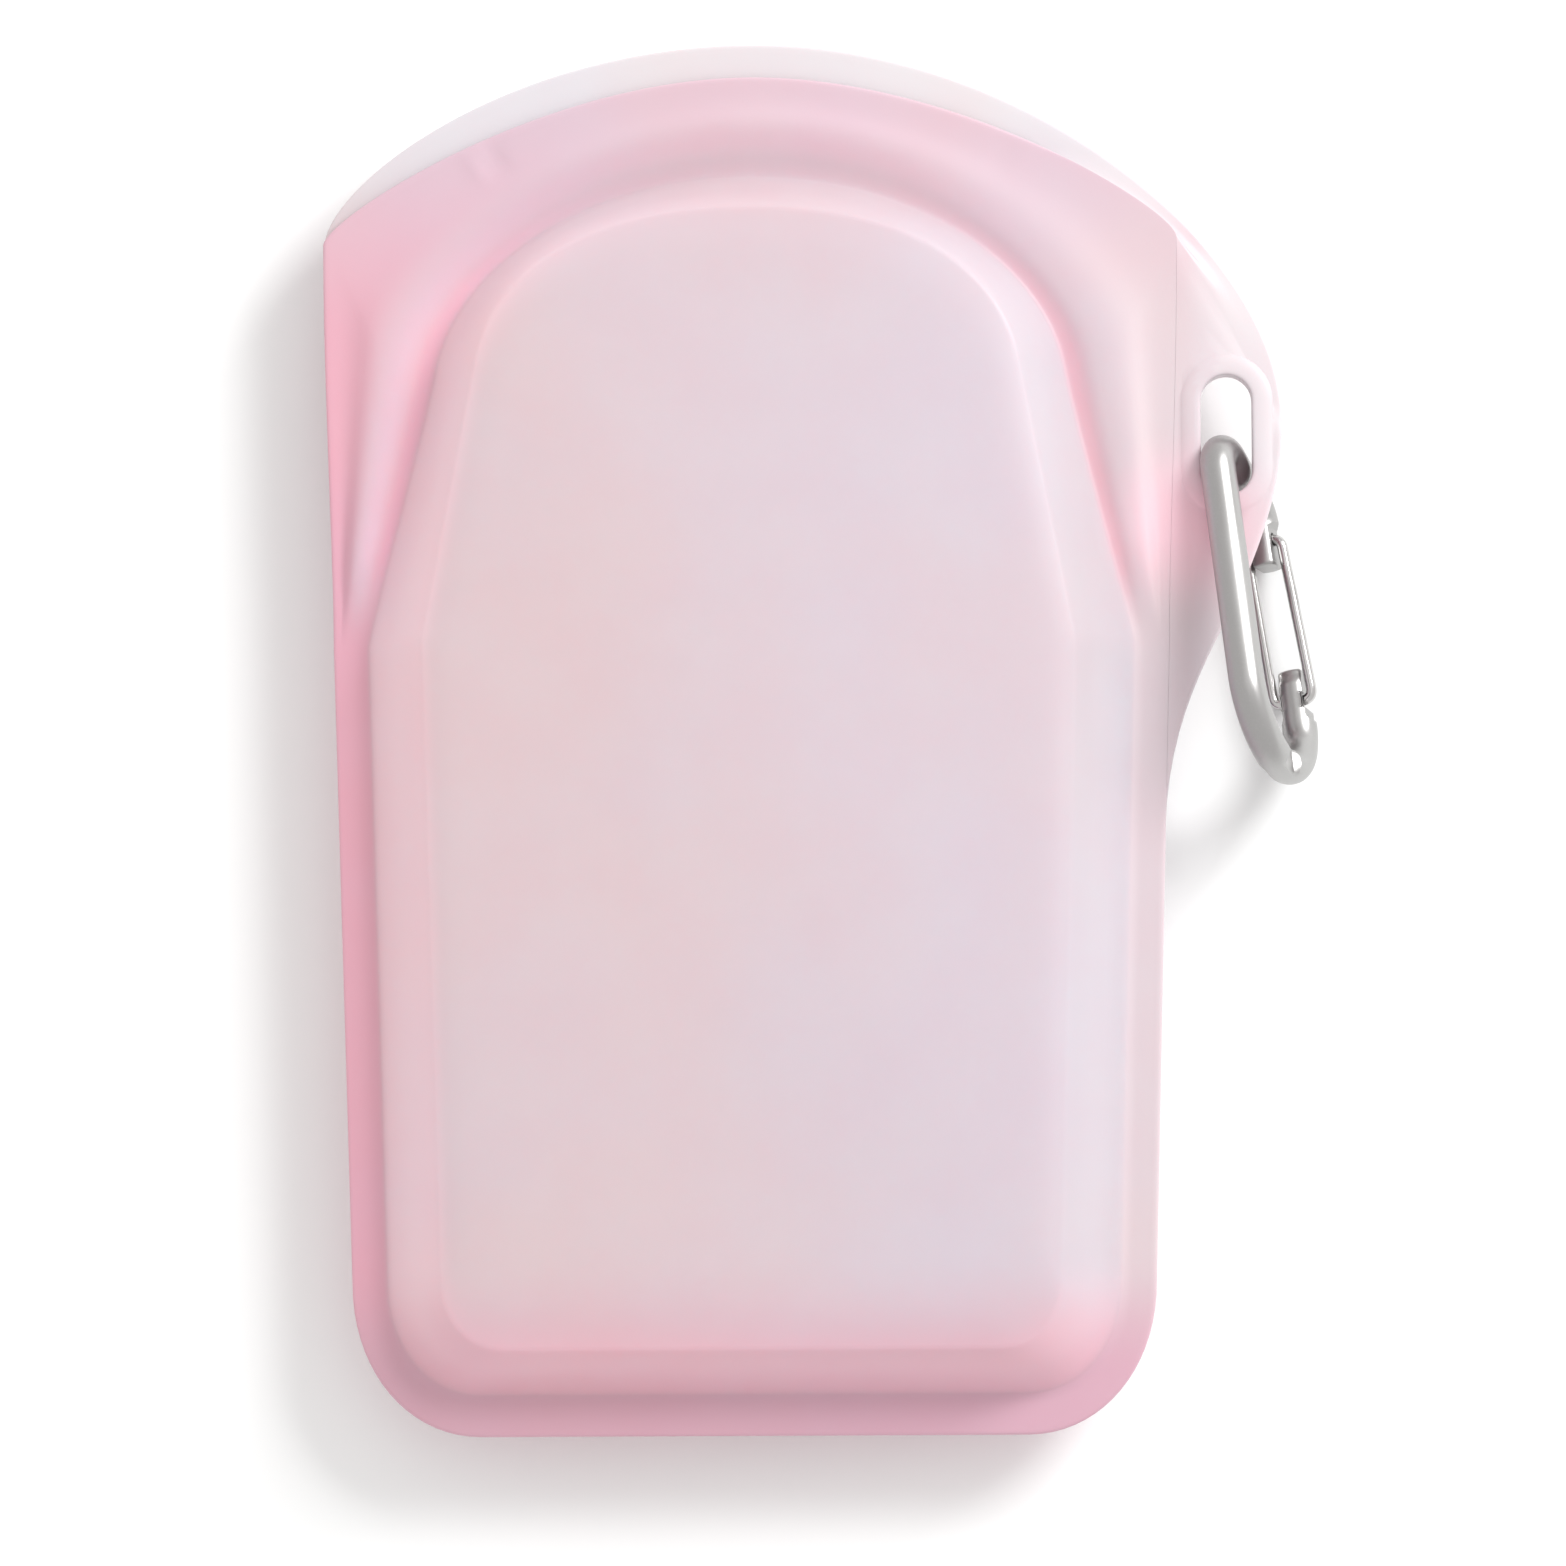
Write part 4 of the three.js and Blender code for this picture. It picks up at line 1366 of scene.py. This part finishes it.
@dataclass
class Bag:
    """The silicone bag: two moulded layers, the ear, the slot's rims and the press seal."""

    form: PouchForm
    blend_below: float = 11 * MM  # a distance below the hinge line
    blend_above: float = 13 * MM
    slot_clearing: float = 1.2 * MM  # how far the hole in the layers runs under the rims

    def __post_init__(self) -> None:
        """Makes the finishes and the slot."""
        self.shell_finish = SiliconeFinish(name="silicone_shell", tints={
            # Flat face: the cooler, lavender ear side is a painted bluish reflection, and the deeper pink at
            # the base is painted shade.
            Zone.FLAT: Tint(plain_side=(0.63, 0.51, 0.535), ear_side=(0.61, 0.53, 0.58),
                            mouth=(0.61, 0.495, 0.54), base=(0.66, 0.43, 0.49)),
            # Wall: painted light and shade that even out the key light. The plain side, which faces away from
            # it, is painted much lighter; the ear's side and the mouth are painted darker.
            Zone.WALL: Tint(plain_side=(0.88, 0.62, 0.67), ear_side=(0.555, 0.50, 0.54),
                            mouth=(0.53, 0.42, 0.46), base=(0.775, 0.46, 0.53)),
            # Margin: the deep pink at the plain side and the base is painted shade beside the bulge, and the
            # paler ear side is painted light.
            Zone.MARGIN: Tint(plain_side=(0.715, 0.38, 0.46), ear_side=(0.63, 0.53, 0.555),
                              mouth=(0.62, 0.46, 0.52), base=(0.62, 0.37, 0.445)),
            # Ridge: paler and cooler than the margin on the plain side, a painted highlight along its crown.
            Zone.CREST: Tint(plain_side=(0.72, 0.50, 0.585), ear_side=(0.61, 0.51, 0.55),
                             mouth=(0.61, 0.43, 0.49), base=(0.70, 0.44, 0.535)),
            # Valley: a deeper, more saturated pink, painted shade in the hollow between the ridge and the
            # bulge.
            Zone.VALLEY: Tint(plain_side=(0.84, 0.45, 0.55), ear_side=(0.67, 0.40, 0.46),
                              mouth=(0.53, 0.41, 0.455), base=(0.70, 0.44, 0.535)),
            # Lip: a single thin layer, so paler; its palest ear side and mouth are also painted light, and
            # its greyer plain side is painted shade.
            Zone.LIP: Tint(plain_side=(0.58, 0.435, 0.445), ear_side=(0.66, 0.60, 0.62),
                           mouth=(0.66, 0.63, 0.65), base=(0.66, 0.50, 0.54)),
        }).material()
        bead = (0.72, 0.41, 0.49)
        self.seal_finish = SiliconeFinish(name="silicone_seal", translucency=0.3, tints={
            Zone.FLAT: Tint(plain_side=bead, ear_side=bead, mouth=bead, base=bead),
        }).material()
        self.slot = Slot(self.form)

    def front(self) -> None:
        """The front layer in one piece, across the hinge line."""
        shell = Shell(self.form, Face.FRONT, crown=0.5 * MM, ripple=0.1 * MM)
        skin = shell.build("front_skin")
        mark_sharp(skin, CREASE_ANGLE)
        paint_zones(skin, shell.zone_points, shell.zone_weights)
        dress(skin, self.shell_finish)
        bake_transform(skin)
        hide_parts("front_panel", "front_flap")
        LOG.info("%s: %d faces", skin.name, len(skin.data.polygons))

    def back(self) -> None:
        """The back layer fused to the ear's front layer, with the slot and its rims."""
        shell = Shell(self.form, Face.BACK, crown=0.0, ripple=0.0)
        ear = EarFront(self.form)
        skin = shell.build("back_skin")
        cut_or_join(skin, ear.build("ear_front"), "UNION")
        cut_or_join(skin, self.slot.cutter(self.slot_clearing), "DIFFERENCE")
        cut_or_join(skin, self.slot.rims("slot_rims"), "UNION")
        paint_zones(skin, np.concatenate([shell.zone_points, ear.zone_points]),
                    np.concatenate([shell.zone_weights, ear.zone_weights]))
        self._finish(skin, "silicone_shell", "back_panel", "ear_front_layer",
                     "slot_rim_front", "slot_rim_back")

    def seal(self) -> None:
        """The tongue on the flap, and the channel and the bond on the back."""
        seal = Seal(self.form)
        self._finish(seal.tongue("seal_bead"), "silicone_seal", "seal_tongue", body="flap")
        self._finish(seal.channel("seal_groove"), "silicone_seal", "seal_channel")
        self._finish(seal.bond("margin_bond"), "silicone_seal", "perimeter_bond")

    def _finish(self, piece: Piece, slot: str, *nodes: str, body: str = "bag") -> None:
        """Dresses a piece, fixes it to its body and lets it stand for its CAD nodes.

        Args:
            piece: The piece.
            slot: The record's material slot, which also names the finish.
            *nodes: The CAD nodes that it stands for.
            body: The body that it moves with.
        """
        mark_sharp(piece, CREASE_ANGLE)
        dress(piece, self.shell_finish if slot == "silicone_shell" else self.seal_finish)
        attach(piece, body)
        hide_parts(*nodes)
        LOG.info("%s: %d faces", piece.name, len(piece.data.polygons))

    def build(self) -> None:
        """Builds every piece of the bag."""
        self.front()
        self.back()
        self.seal()


# ---- The carabiner ----


@dataclass
class Carabiner:
    """A mini carabiner in 5 mm rod with a wire gate.

    It is laid out in its own plane, as distances across from its spine and down from its top.
    """

    rod: float = 5 * MM
    yaw: float = 6.5
    pitch: float = 12.5
    lean: float = 21.0
    spine_end: float = 34 * MM
    bottom_across: float = 11 * MM
    bottom_down: float = 44.4 * MM
    nose_across: float = 20.6 * MM
    nose_bend_end: float = 36 * MM
    nose_end: float = 28.8 * MM
    nose_thickness: float = 3.4 * MM
    top_bend: float = 3.5 * MM
    hinge_bend: float = 4 * MM
    top_slope: float = 0.494
    hinge_across: float = 15.7 * MM
    hinge_leg_end: float = 13.4 * MM
    hinge_thickness: float = 3 * MM
    flat_start: float = 7.8 * MM
    flat_ramp: float = 0.5 * MM
    pivot_down: float = 10.7 * MM
    pivot_offset: float = 0.8 * MM
    wire: float = 1.5 * MM
    wire_bend: float = 1.6 * MM
    leg_gap_hinge: float = 0.35 * MM
    leg_gap_nose: float = 0.5 * MM
    notch_gap: float = 0.35 * MM
    barb_lip: float = 1.1 * MM
    foot_pull: float = 4.6 * MM  # how far each end of the lower bend keeps its direction
    bottom_pull: float = 6.4 * MM
    bend_pull: float = 5.4 * MM
    nose_pull: float = 5 * MM
    leg_slant: float = 0.05
    notch_ramp: float = 0.22 * MM
    tip_taper: float = 1.8 * MM
    tip_thinning: float = 0.22
    rod_end_round: float = 0.45 * MM
    wire_end_round: float = 0.15 * MM
    bevel_width: float = 0.1 * MM
    bevel_angle: float = 38.0
    crisp_angle: float = 36.0
    hole_gap: float = 0.25 * MM
    hole_floor: float = 0.1 * MM
    wire_tip: float = 0.3 * MM  # from the hinge end's middle plane to the end of the wire
    bar_down: float = 33.1 * MM
    sides: int = 40

    def __post_init__(self) -> None:
        """Works out the carabiner's place from the joint that its gate turns on."""
        turns = [Matrix.Rotation(math.radians(angle), 4, axis)
                 for angle, axis in ((self.yaw, "Z"), (-self.pitch, "X"), (-self.lean, "Y"))]
        turn = turns[0] @ turns[1] @ turns[2]
        pivot = Vector(joint_named("gate_pivot")["pos_m"])
        local_pivot = Vector((0, -self.pivot_down, -self.hinge_across))
        self.place = Matrix.Translation(pivot - turn.to_3x3() @ local_pivot) @ turn
        self.bar_across = self.nose_across - self.barb_lip

    @staticmethod
    def local(side: float, across: float, down: float) -> np.ndarray:
        """A point in the carabiner's own frame."""
        return np.array([side, -down, -across])

    def _corner(self, start: np.ndarray, corner: np.ndarray, after: np.ndarray, radius: float) -> Line:
        """A straight stretch towards a corner, then an arc round it.

        Args:
            start: Where the stretch begins.
            corner: The corner.
            after: A point on the stretch that follows.
            radius: The arc's radius.

        Returns:
            The points, which end where the arc does.
        """
        into = (corner - start) / np.linalg.norm(corner - start)
        away = (after - corner) / np.linalg.norm(after - corner)
        cross = into[0] * away[1] - into[1] * away[0]
        turn = math.acos(float(np.clip(into @ away, -1, 1)))
        begin = corner - into * radius * math.tan(turn / 2)
        inwards = np.array([-into[1], into[0]]) * math.copysign(1, cross)
        centre = begin + inwards * radius
        arc = [centre - inwards * radius * math.cos(a) + into * radius * math.sin(a)
               for a in np.linspace(0, turn, 26)]
        return np.concatenate([bezier([start, begin], 22), arc])

    def route(self) -> Line:
        """The rod's centreline as across and down, from its hinge end to its nose.

        Returns:
            The points.
        """
        steep = (math.pi - math.atan(1 / self.top_slope)) / 2
        top = np.array([0, self.top_bend - self.top_bend * math.tan(steep)])
        hinge = np.array([self.hinge_across, top[1] + self.top_slope * self.hinge_across])
        leg = self.hinge_leg_end - hinge[1]
        start = np.array([self.hinge_across + self.leg_slant * leg, self.hinge_leg_end])
        foot = np.array([0, self.spine_end])
        first = self._corner(start, hinge, top, self.hinge_bend)
        second = self._corner(first[-1], top, foot, self.top_bend)
        lowest = (self.bottom_across, self.bottom_down)
        nose_foot = (self.nose_across, self.nose_bend_end)
        stretches = [
            bezier([second[-1], foot], 44),
            bezier([foot, (0, foot[1] + self.foot_pull),
                    (lowest[0] - self.bottom_pull, lowest[1]), lowest], 30),
            bezier([lowest, (lowest[0] + self.bend_pull, lowest[1]),
                    (nose_foot[0], nose_foot[1] + self.nose_pull), nose_foot], 30),
            bezier([nose_foot, (self.nose_across, self.nose_end)], 72),
        ]
        return np.concatenate([first, second[1:], *stretches, [(self.nose_across, self.nose_end)]])

    def body(self) -> Piece:
        """The rod, flattened at its hinge end and its nose, with the notch under the barb.

        Returns:
            The object, in its place at rest.
        """
        route = self.route()
        path = np.array([self.local(0, across, down) for across, down in route])
        last = (np.arange(len(route)) > len(route) // 2) & (route[:, 0] > self.bottom_across)
        down = route[:, 1]
        radius = self.rod / 2
        hinge_flat = smooth_step(down, self.flat_start - self.flat_ramp, self.flat_start + self.flat_ramp)
        hinge_share = np.where(last, 0, hinge_flat) * (route[:, 0] > self.hinge_across / 2)
        nose_flat = 1 - smooth_step(down, self.nose_bend_end - 0.8 * MM, self.nose_bend_end + 0.4 * MM)
        nose_share = np.where(last & (route[:, 0] > self.nose_across - 2 * MM), nose_flat, 0)
        limit = radius - hinge_share * (radius - self.hinge_thickness / 2)
        limit -= nose_share * (radius - self.nose_thickness / 2)
        notch_half = self.wire / 2 + self.notch_gap
        notch = np.where(last, plateau_bump(down, self.bar_down, notch_half, self.notch_ramp), 0)
        outer = radius - notch * (radius - (self.bar_across - notch_half - self.nose_across))
        tip = np.where(last, 1 - smooth_step(down, self.nose_end, self.nose_end + self.tip_taper), 0)

        def section(i: int, side: np.ndarray, outwards: np.ndarray) -> np.ndarray:
            """The rod's round section, held within its flats and its notch."""
            turn = whole_turn(self.sides)
            width = np.clip(radius * np.cos(turn), -limit[i], limit[i])
            reach = radius * np.sin(turn) * (1 - self.tip_thinning * tip[i])
            towards = 1 if outwards[2] < 0 else -1
            reach = np.where(reach * towards > outer[i], outer[i] * towards, reach)
            return width[:, None] * side + reach[:, None] * outwards

        across = np.tile(np.array([1.0, 0, 0]), (len(path), 1))
        piece = swept("carabiner_frame", path, section, across, self.rod_end_round)
        for side in (-1, 1):
            cut_or_join(piece, self._pivot_hole(side), "DIFFERENCE")
        bevel = piece.modifiers.new("soft_edges", "BEVEL")
        bevel.width = self.bevel_width
        bevel.segments = 2
        bevel.limit_method = "ANGLE"
        bevel.angle_limit = math.radians(self.bevel_angle)
        apply_modifiers(piece)
        mark_sharp(piece, self.crisp_angle)
        piece.data.transform(self.place)
        return piece

    def _pivot_hole(self, side: int) -> Piece:
        """The hole that one end of the wire turns in.

        Args:
            side: Which face of the hinge end it enters.

        Returns:
            A cutter for it.
        """
        radius = self.wire / 2 + self.hole_gap
        middle = self.local(0, self.hinge_across, self.pivot_down - side * self.pivot_offset)
        turn = whole_turn(28)
        circle = np.column_stack([np.zeros(len(turn)), radius * np.cos(turn), radius * np.sin(turn)])
        rows = [middle + circle + (side * reach, 0, 0) for reach in (self.hole_floor, self.hinge_thickness)]
        return lofted("pivot_hole", np.array(rows))

    def gate(self) -> Piece:
        """The wire gate: two legs from the pivot holes, joined by the bar behind the barb.

        Returns:
            The object, in its place at rest.
        """
        hinge_side = self.hinge_thickness / 2 + self.leg_gap_hinge + self.wire / 2
        nose_side = self.nose_thickness / 2 + self.leg_gap_nose + self.wire / 2
        left, right = self.pivot_down + self.pivot_offset, self.pivot_down - self.pivot_offset
        corners = [
            self.local(-self.wire_tip, self.hinge_across, left),
            self.local(-hinge_side, self.hinge_across, left),
            self.local(-nose_side, self.bar_across, self.bar_down),
            self.local(nose_side, self.bar_across, self.bar_down),
            self.local(hinge_side, self.hinge_across, right),
            self.local(self.wire_tip, self.hinge_across, right),
        ]
        stretches = []
        start = corners[0]
        for before, corner, after in zip(corners, corners[1:], corners[2:]):
            begin = corner + (before - corner) / np.linalg.norm(before - corner) * self.wire_bend
            end = corner + (after - corner) / np.linalg.norm(after - corner) * self.wire_bend
            count = max(3, round(float(np.linalg.norm(begin - start)) / (0.8 * MM)))
            stretches += [bezier([start, begin], count), bezier([begin, corner, end], 12)]
            start = end
        path = np.concatenate([*stretches, bezier([start, corners[-1]], 4), [corners[-1]]])
        turn = whole_turn(20)

        def section(i: int, first: np.ndarray, second: np.ndarray) -> np.ndarray:
            """The wire's round section."""
            return self.wire / 2 * (np.cos(turn)[:, None] * first + np.sin(turn)[:, None] * second)

        bar = self.local(0, self.bar_across, self.bar_down)
        pivot = self.local(0, self.hinge_across, self.pivot_down)
        normal = np.cross(bar - pivot, (1.0, 0, 0))
        piece = swept("gate_wire", path, section, np.tile(normal, (len(path), 1)), self.wire_end_round)
        piece.data.transform(self.place)
        return piece

    def build(self) -> None:
        """Builds and dresses the rod and its gate."""
        for piece, finish, slot, node, body in (
            (self.body(), SatinMetal("satin_aluminium"), "satin_aluminium", "carabiner_body", "carabiner"),
            (self.gate(), PolishedWire("polished_wire"), "polished_wire", "carabiner_gate", "gate"),
        ):
            dress(piece, finish.material())
            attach(piece, body)
            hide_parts(node)
            LOG.info("%s: %d faces", piece.name, len(piece.data.polygons))


# ---- Light, floor and camera ----


@dataclass
class Studio:
    """A pale floor under soft light, seen from almost straight above."""

    target: Vector = field(default_factory=lambda: Vector((4.4 * MM, -1.9 * MM, 12.5 * MM)))
    view_width: float = 220.5 * MM  # what the frame takes in, at the target
    camera_distance: float = 1.0
    tilt_right: float = 2.0  # degrees off the vertical, towards +X
    tilt_down: float = 4.5  # degrees off the vertical, towards -Y
    roll: float = 0.3  # degrees clockwise, about the line of sight
    sensor: float = 36.0
    floor_half: float = 3.0
    floor_gap: float = 0.05 * MM  # how far the floor lies below the bag
    floor_cloud: float = 0.4
    floor_whites: tuple[Colour, Colour] = ((0.925, 0.94, 0.935), (0.95, 0.965, 0.96))
    sky_white: Colour = (1.0, 0.985, 0.98)
    sky_strength: float = 0.83
    lamp_distance: float = 1.2

    def camera(self) -> None:
        """Places the camera and makes it the scene's."""
        data = bpy.data.cameras.new("camera")
        data.sensor_width = self.sensor
        data.lens = self.sensor * self.camera_distance / self.view_width
        data.clip_end = 10.0
        camera = bpy.data.objects.new("camera", data)
        bpy.context.scene.collection.objects.link(camera)
        away = Vector((math.tan(math.radians(self.tilt_right)), -math.tan(math.radians(self.tilt_down)), 1))
        away.normalize()
        camera.location = self.target + away * self.camera_distance
        up = Vector((math.tan(math.radians(self.roll)), 1, 0))
        right = up.cross(away).normalized()
        true_up = away.cross(right)
        turn = Matrix((right, true_up, away)).transposed()
        camera.rotation_euler = turn.to_euler()
        bpy.context.scene.camera = camera

    def lamp(self, name: str, direction: Sequence[float], size: float, power: float) -> None:
        """Adds a square soft white light.

        Args:
            name: The light's name.
            direction: Where it stands, as seen from the bag.
            size: The length of its side.
            power: Its power in watts.
        """
        data = bpy.data.lights.new(name, "AREA")
        data.size = size
        data.energy = power
        lamp = bpy.data.objects.new(name, data)
        bpy.context.scene.collection.objects.link(lamp)
        away = Vector(direction).normalized()
        lamp.location = self.target + away * self.lamp_distance
        lamp.rotation_euler = away.to_track_quat("Z", "Y").to_euler()

    def floor(self) -> None:
        """Adds the floor, with a faint unevenness in its white."""
        corners = self.floor_half * np.array([(-1, -1, 0), (1, -1, 0), (1, 1, 0), (-1, 1, 0)])
        floor = mesh_object("floor", corners - (0, 0, self.floor_gap), [(0, 1, 2, 3)])
        keep_rest_place(floor)
        material, tree, surface = new_material("pale_floor")
        cloud = effect(tree, EFFECTS.cloud(), self.floor_cloud)["Cloud"]
        set_inputs(surface, {"Base Color": mixed(tree, cloud, *self.floor_whites), "Roughness": 0.8})
        floor.data.materials.append(material)

    def sky(self) -> None:
        """Fills the surroundings with an even pale light."""
        world = bpy.data.worlds.new("studio")
        world.use_nodes = True
        background = world.node_tree.nodes["Background"]
        background.inputs["Color"].default_value = (*self.sky_white, 1.0)
        background.inputs["Strength"].default_value = self.sky_strength
        bpy.context.scene.world = world

    def build(self) -> None:
        """Sets up the whole studio."""
        self.camera()
        self.floor()
        self.sky()
        self.lamp("key", (0.607, 0.534, 0.588), size=0.5, power=11.2)
        self.lamp("top", (0.1, 0.3, 1.0), size=0.8, power=0.5)
        view = bpy.context.scene.view_settings
        view.view_transform = "Standard"
        view.look = "None"
        LOG.info("studio ready")


def main() -> None:
    """Builds the bag, its carabiner and the studio."""
    logging.basicConfig(level=logging.INFO, format="%(name)s: %(message)s")
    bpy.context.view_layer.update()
    Bag(PouchForm.from_frame()).build()
    Carabiner().build()
    Studio().build()


if __name__ == "__main__":
    main()
